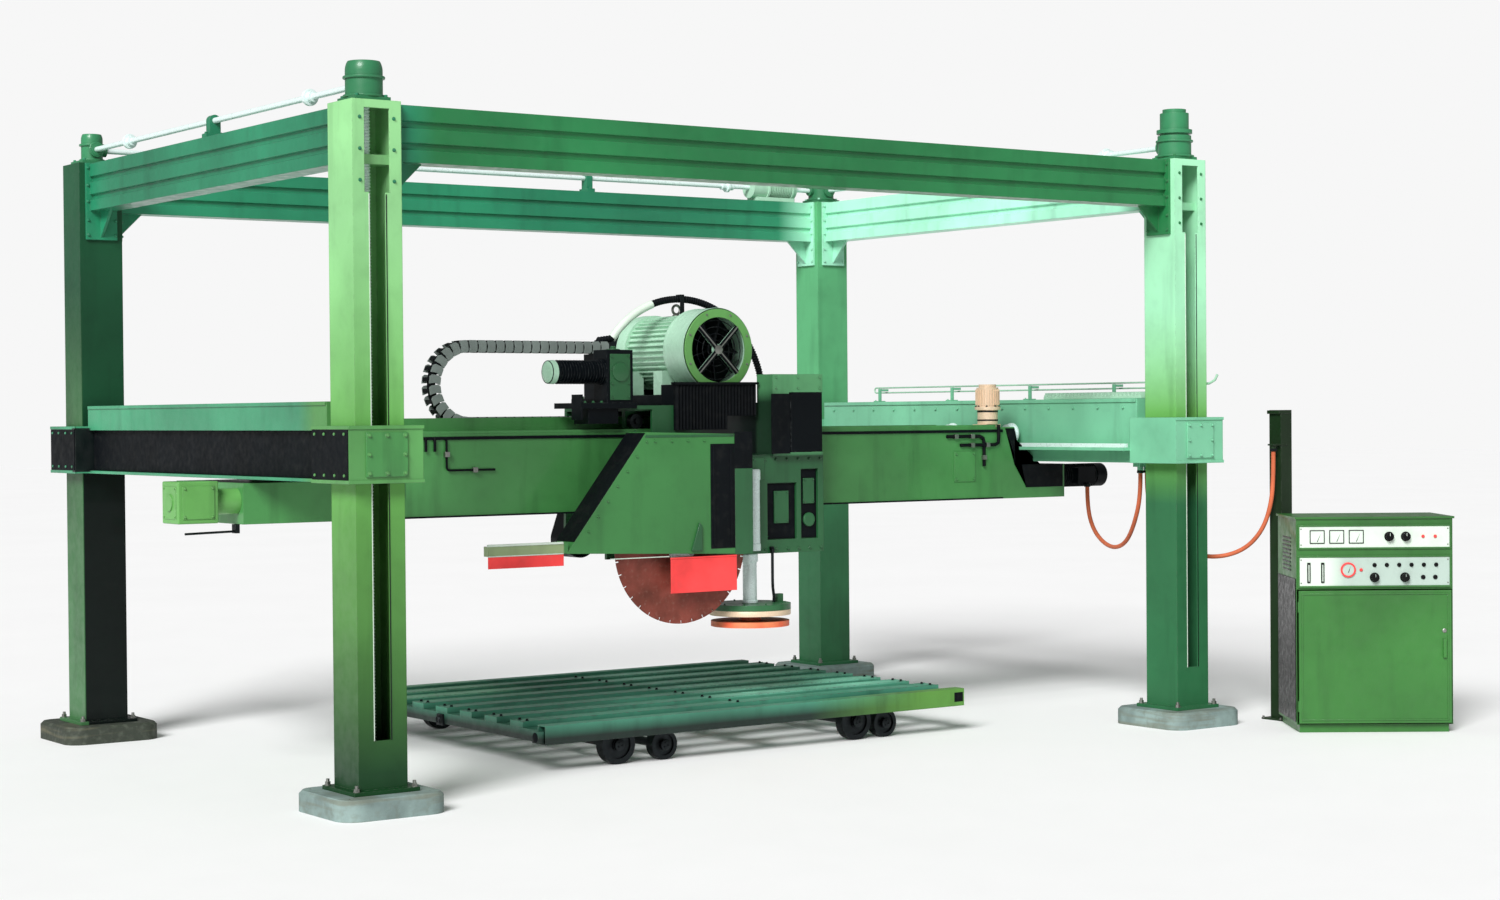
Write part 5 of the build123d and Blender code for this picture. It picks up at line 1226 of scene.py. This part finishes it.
def make_quill():
    """Bright sleeve of the quill, and the pale column at the left of the unit's box."""
    sleeve = Build().turned((QUILL.x, QUILL.y, 1.020), Z,
                            [(0, 0.0505), (0, 0.060), (0.014, 0.060), (0.018, 0.0525), (0.300, 0.0525),
                             (0.304, 0.062), (0.352, 0.062), (0.360, 0.056), (0.360, 0.0505)], 48, True)
    sleeve.make("quill_sleeve", "ground_steel", "horizontal_unit")
    slide = Build().turned((0.300, -1.052, 1.405), Z,
                           [(0, 0.050), (0.002, 0.054), (0.050, 0.054), (0.054, 0.049), (0.520, 0.049),
                            (0.524, 0.054), (0.590, 0.054), (0.600, 0.046)], 40)
    slide.make("unit_slide_column", "ground_steel", "horizontal_unit")


def make_louvres():
    """Louvred front of the unit's black motor, and the dark sheet beside it."""
    x0, x1, y, z0, z1, rim = 0.612, 0.905, LOUVRE_FRONT, 2.128, 2.572, 0.014
    louvre = Build().box((x0 + 0.002, y - 0.002, z0 + 0.002), (x1 - 0.002, y + 0.001, z1 - 0.002))
    cowl = Build().box((0.434, y - 0.005, 2.118), (0.604, y, 2.560))
    cowl.make("unit_dark_sheet", "black_rubber", "horizontal_unit", 0.001)
    for x in (x0, x1 - rim):
        louvre.box((x, y, z0), (x + rim, y + 0.016, z1))
    for z in (z0, z1 - rim):
        louvre.box((x0, y, z), (x1, y + 0.016, z + rim))
    slat = ((0.002, 0), (0.004, -0.004), (0.018, 0.012), (0.016, 0.016))
    for z in spread(2.150, 2.540, 16):
        louvre.prism([(x0 + 0.012, y + dy, z + dz) for dy, dz in slat], (x1 - x0 - 0.024, 0, 0))
    louvre.make("motor_louvres", "black_enamel", "horizontal_unit", 0.0008)


def make_unit_face():
    """Pocket backs, plates, sight glass and bolts on the front of the unit's box."""
    front, back = UNIT_FRONT, UNIT_FRONT + 0.020
    dark = Build().box((0.436, back, 1.486), (0.694, back + 0.009, 1.894))
    dark.box((0.746, back, 1.486), (0.894, back + 0.009, 1.994))
    dark.make("unit_pocket_backs", "black_rubber", "horizontal_unit", 0.001)
    plates = Build().box((0.50, front + 0.006, 1.60), (0.63, back, 1.84))
    plates.turned((0.82, back, 1.62), -Y, [(0, 0.052), (0.016, 0.052), (0.020, 0.046), (0.020, 0.034)], 36)
    plates.box((0.77, front + 0.008, 1.74), (0.87, back, 1.93))
    plates.box((0.185, front - 0.008, 1.93), (0.40, front, 2.09))
    plates.make("unit_plates", "head_enamel", "horizontal_unit", 0.002)
    bolts = Build()
    for columns, rows in (((0.515, 0.615), (1.615, 1.825)), ((0.78, 0.86), (1.755, 1.915))):
        bolts.bolts([(x, front + 0.007, z) for x in columns for z in rows], -Y, 0.006)
    for x in spread(0.20, 0.92, 8):
        plate = front - 0.008 if x < 0.40 else front
        bolts.bolts([(x, front, 1.41), (x, plate, 2.075)], -Y, 0.009)
    bolts.bolts([(x, LOUVRE_FRONT, z) for z in (2.60, 2.68) for x in (0.48, 0.68, 0.88)], -Y, 0.007)
    bolts.bolts(ring_of((QUILL.x, QUILL.y, 1.018), Z, 0.26, 10), Z, 0.007)
    bolts.make("unit_bolts", "head_enamel", "horizontal_unit", 0.0005)


def make_water_pipe():
    """Pipe from the unit's box down to the flat blade's guard, with its nut and clip."""
    x, y = 0.46, UNIT_FRONT
    pipe = Build().tube([(x, y - 0.016, 1.40), (x, y - 0.016, 1.18), (0.466, y - 0.010, 1.13),
                         (0.49, y + 0.01, 1.06), (0.49, y + 0.012, 1.018)], 0.011, 12)
    pipe.turned((x, y - 0.016, 1.385), Z, [(0, 0.017), (0.03, 0.017), (0.034, 0.012)], 6)
    pipe.box((0.445, y - 0.02, 1.405), (0.475, y + 0.002, 1.43))
    pipe.make("unit_water_pipe", "dark_steel", "horizontal_unit")


def make_flat_guard_rim():
    """Copper-coloured rim just outside the flat blade."""
    low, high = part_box("horizontal_blade")
    outer = (high.x - low.x) / 2 + 0.010
    profile = [(0, outer - 0.014), (0, outer), (0.002, outer + 0.001), (0.040, outer + 0.001),
               (0.042, outer), (0.042, outer - 0.014)]
    rim = Build().turned((QUILL.x, QUILL.y, 0.935), Z, profile, 72, True)
    rim.make("flat_guard_rim", "copper_metal", "horizontal_unit")


make_quill()
make_louvres()
make_unit_face()
make_water_pipe()
make_flat_guard_rim()


# ------------------------------------------------------------------ trolley

def make_deck_dressing():
    """Bolts and edge beads along the trolley's deck beams."""
    low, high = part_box("trolley_deck")
    rows = spread(low.y + 0.085, high.y - 0.085, 7)
    bolts, beads = Build(), Build()
    for x in (low.x + 0.055, -0.005, high.x - 0.055):
        bolts.bolts([(x, y + dy, high.z) for y in rows for dy in (-0.05, 0.05)], Z, 0.010)
    bolts.make("deck_bolts", "dark_steel", "trolley", 0.0006)
    for y in [row + dy for row in rows for dy in (-0.083, 0.083)]:
        beads.box((low.x, y - 0.002, high.z), (high.x, y + 0.002, high.z + 0.003))
    beads.make("deck_edge_beads", "trolley_enamel", "trolley", 0.001)


def make_buffers():
    """Buffer pads and a towing eye at the trolley's ends."""
    low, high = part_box("trolley_deck")
    frame_low, frame_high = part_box("trolley_frame")
    pads = Build()
    for y in (frame_low.y + 0.06, frame_high.y - 0.07):
        pads.turned((frame_low.x + 0.002, y, 0.25), -X, [(0, 0.034), (0.004, 0.034), (0.008, 0.028)], 28)
    pads.box((high.x - 0.095, frame_low.y - 0.0015, 0.232), (high.x - 0.012, frame_low.y, 0.302))
    pads.make("buffer_pads", "black_rubber", "trolley")
    centre = Vector((low.x, (low.y + high.y) / 2, 0.24))
    plate = ((-0.05, -0.04), (0.05, -0.04), (0.04, 0.04), (-0.04, 0.04))
    eye = Build().prism([centre + dy * Y + dz * Z for dy, dz in plate], (-0.018, 0, 0))
    eye.tube(hoop(centre - 0.030 * X, Y, Z, 0.024, 20), 0.006, 10)
    eye.make("towing_eye", "dark_steel", "trolley", 0.001)


def make_axle_caps():
    """Caps with three bolts on the ends of the trolley's axles."""
    for number in range(1, 5):
        low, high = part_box(f"trolley_wheelset_{number}")
        centre = (low + high) / 2
        caps = Build()
        for y, out in ((low.y, -Y), (high.y, Y)):
            hub = Vector((centre.x, y, centre.z))
            caps.turned(hub, out, [(0, 0.038), (0.003, 0.040), (0.008, 0.040), (0.011, 0.034)], 28)
            caps.bolts(ring_of(hub + out * 0.010, out, 0.018, 3), out, 0.006)
        caps.make(f"axle_caps_{number}", "dark_steel", f"trolley_wheels_{number}")


make_deck_dressing()
make_buffers()
make_axle_caps()


# ------------------------------------------------------------------ control cabinet

DEPTH_WAY = -Vector(JOINTS["knob_1_turn"]["axis"]).normalized()
WIDTH_WAY = Vector((DEPTH_WAY.y, -DEPTH_WAY.x, 0))
HINGE_INSET = 0.014
CORNER = Vector(JOINTS["door_swing"]["pos_m"]) + (DEPTH_WAY - WIDTH_WAY) * HINGE_INSET
CORNER.z = 0
CABINET = Matrix.Translation(CORNER) @ Matrix((WIDTH_WAY, DEPTH_WAY, Z)).transposed().to_4x4()
CABINET_WIDTH, CABINET_DEPTH = 1.160, 0.700
PANEL_FRONT = -0.005
DOOR_FRONT = -0.022


class CabinetBuild(Build):
    """The same builder, drawn with x across the cabinet's front and y into its depth."""

    def make(self, name, slot, body, bevel=0.0):
        self.mesh.transform(CABINET)
        return super().make(name, slot, body, bevel)


def border(build, x0, x1, z0, z1, width, y0, y1):
    """Four flat strips round a rectangle on the cabinet's front."""
    build.box((x0, y0, z0), (x1, y1, z0 + width))
    build.box((x0, y0, z1 - width), (x1, y1, z1))
    build.box((x0, y0, z0 + width), (x0 + width, y1, z1 - width))
    build.box((x1 - width, y0, z0 + width), (x1, y1, z1 - width))


def needle(build, foot, tip):
    """Thin pointer that rises from a foot to a tip."""
    build.prism([foot, Vector(foot) + 0.006 * X, tip], 0.001 * Y)


def make_panels():
    """Borders, meters, dials, switches, gauge, lamps and screws of the panels, the side louvres, and a black
    sheet on the left side that is painted shade.
    """
    trim, black, white, red, screws = (CabinetBuild() for _ in range(5))
    face = PANEL_FRONT
    for z0, z1 in ((1.368, 1.552), (1.083, 1.322)):
        border(trim, 0.010, CABINET_WIDTH - 0.010, z0, z1, 0.014, -0.011, 0.0)
    trim.make("panel_borders", "cabinet_enamel", "frame", 0.0015)
    for x in (0.080, 0.183):
        black.box((x, -0.014, 1.120), (x + 0.024, face, 1.270))
        white.box((x + 0.008, -0.0155, 1.130), (x + 0.016, -0.014, 1.255))
    for x in (0.100, 0.245, 0.390):
        border(black, x, x + 0.110, 1.412, 1.512, 0.006, -0.012, face)
        white.box((x + 0.004, -0.009, 1.416), (x + 0.106, face, 1.508))
        needle(black, (x + 0.052, -0.0105, 1.425), (x + 0.084, -0.0105, 1.490))
    for x in spread(0.580, 1.037, 6):
        black.turned((x, face, 1.250), -Y, [(0, 0.016), (0.004, 0.016), (0.005, 0.010), (0.016, 0.009)], 20)
        black.box((x - 0.003, -0.034, 1.247), (x + 0.003, -0.020, 1.266))
    for x in (0.940, 1.030):
        black.turned((x, face, 1.158), -Y, [(0, 0.017), (0.006, 0.017), (0.007, 0.012), (0.012, 0.012)], 20)
    gauge = (0.384, face, 1.215)
    red.turned(gauge, -Y, [(0, 0.056), (0.012, 0.056), (0.016, 0.050), (0.016, 0.044), (0.010, 0.043)], 40)
    white.turned(gauge, -Y, [(0, 0.044), (0.011, 0.044)], 36)
    needle(black, (0.381, -0.018, 1.195), (0.402, -0.018, 1.246))
    for x, z in ((0.480, 1.215), (0.940, 1.462), (1.030, 1.462)):
        red.turned((x, face, z), -Y, [(0, 0.012), (0.008, 0.012), (0.014, 0.006)], 20)
    screws.bolts([(x, face, z) for x in (0.036, 1.124) for z in (1.402, 1.520, 1.117, 1.290)], -Y, 0.004)
    for side, x in ((-1, 0.0), (1, CABINET_WIDTH)):
        for z in spread(1.20, 1.44, 9):
            black.box((x, 0.20, z), (x + side * 0.004, 0.50, z + 0.010))
    # Black sheet over the cabinet's left side: painted shade.
    black.box((-0.005, 0.020, 0.080), (0.0, CABINET_DEPTH - 0.020, 1.150))
    black.make("cabinet_black_fittings", "black_plastic", "frame", 0.0008)
    white.make("cabinet_dials", "panel_paint", "frame", 0.0006)
    red.make("cabinet_gauge_and_lamps", "red_rubber", "frame")
    screws.make("cabinet_screws", "zinc_steel", "frame", 0.0004)


def make_door_fittings():
    """Border and lock of the cabinet's door, and the pale pointers on its four knobs."""
    door = CabinetBuild()
    border(door, 0.034, CABINET_WIDTH - 0.034, 0.092, 1.042, 0.012, -0.027, DOOR_FRONT)
    door.make("door_border", "cabinet_enamel", "door", 0.0015)
    x, z = CABINET_WIDTH - 0.068, 0.760
    lock = CabinetBuild().turned((x, DOOR_FRONT, z), -Y, [(0, 0.016), (0.006, 0.016), (0.008, 0.012)], 24)
    lock.box((x - 0.0015, -0.0312, z - 0.007), (x + 0.0015, -0.030, z + 0.007))
    lock.make("door_lock", "zinc_steel", "door", 0.0005)
    knobs = ((0.689, 1.462), (0.812, 1.462), (0.580, 1.158), (0.805, 1.158))
    for number, (x, z) in enumerate(knobs, start=1):
        mark = CabinetBuild().box((x - 0.0018, -0.0462, z + 0.004), (x + 0.0018, -0.0450, z + 0.026))
        mark.make(f"knob_pointer_{number}", "panel_paint", f"knob_{number}")


def make_post_fittings():
    """Cap and base bolts of the cable post."""
    centre, top = middle("cable_post"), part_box("cable_post")[1].z
    low, high = centre - 0.064 * (X + Y), centre + 0.064 * (X + Y)
    cap = Build().box((low.x, low.y, top - 0.030), (high.x, high.y, top - 0.002))
    cap.make("post_cap", "machine_enamel", "frame", 0.004)
    bolts = Build().bolts([(centre.x + dx, centre.y + dy, 0.014) for dx, dy in square(0.09)], Z, 0.010)
    bolts.make("post_bolts", "zinc_steel", "frame", 0.0006)


def make_gland_nuts():
    """Hexagon nuts on the hoses' glands."""
    ends = (("bridge", "bridge", BRIDGE_HOSE[0]), ("clip_front", "lift_frame", BRIDGE_HOSE[-1]),
            ("clip_rear", "lift_frame", SUPPLY_HOSE[0]), ("post", "frame", SUPPLY_HOSE[-1]))
    for name, body, (x, y, z) in ends:
        nut = Build().turned((x, y, z + 0.002), Z,
                             [(0, 0.024), (0.001, 0.031), (0.018, 0.031), (0.020, 0.027)], 6)
        nut.make(f"gland_nut_{name}", "dark_steel", body, 0.0008)


make_panels()
make_door_fittings()
make_post_fittings()
make_gland_nuts()


# ------------------------------------------------------------------ floor and light

FLOOR_HALF = 110


def make_stage():
    """White floor, so wide that its edge stays out of sight."""
    size = FLOOR_HALF
    data = bpy.data.meshes.new("floor")
    data.from_pydata([(-size, -size, 0), (size, -size, 0), (size, size, 0), (-size, size, 0)], [],
                     [(0, 1, 2, 3)])
    g = Graph("floor_paint")
    pale = g.mix(g.noise(0.4, 3), srgb(245, 245, 245), srgb(250, 250, 250))
    data.materials.append(g.finish(pale, g.remap(g.noise(3), 0.3, 0.7, 0.7, 0.8)))
    floor = bpy.data.objects.new("floor", data)
    bpy.context.scene.collection.objects.link(floor)


def make_sun(towards, strength, spread_degrees):
    """One broad soft lamp, shining from the given direction."""
    data = bpy.data.lights.new("soft_lamp", "SUN")
    data.energy = strength
    data.angle = math.radians(spread_degrees)
    lamp = bpy.data.objects.new("soft_lamp", data)
    lamp.rotation_mode = "QUATERNION"
    lamp.rotation_quaternion = Vector(towards).to_track_quat("Z", "Y")
    bpy.context.scene.collection.objects.link(lamp)


def make_sky(seen, cast):
    """Pale backdrop whose brightness is set apart from the light it casts."""
    world = bpy.data.worlds.new("sky")
    world.use_nodes = True
    tree = world.node_tree
    backdrop = tree.nodes["Background"]
    backdrop.inputs["Color"].default_value = (1, 1, 1, 1)
    choose = tree.nodes.new("ShaderNodeMapRange")
    choose.inputs["To Min"].default_value = cast
    choose.inputs["To Max"].default_value = seen
    path = tree.nodes.new("ShaderNodeLightPath")
    tree.links.new(path.outputs["Is Camera Ray"], choose.inputs["Value"])
    tree.links.new(choose.outputs["Result"], backdrop.inputs["Strength"])
    bpy.context.scene.world = world


make_stage()
make_sun((-0.70, -0.50, 0.60), 4.2, 25)
make_sky(0.93, 0.30)
bpy.context.scene.view_settings.view_transform = "Standard"
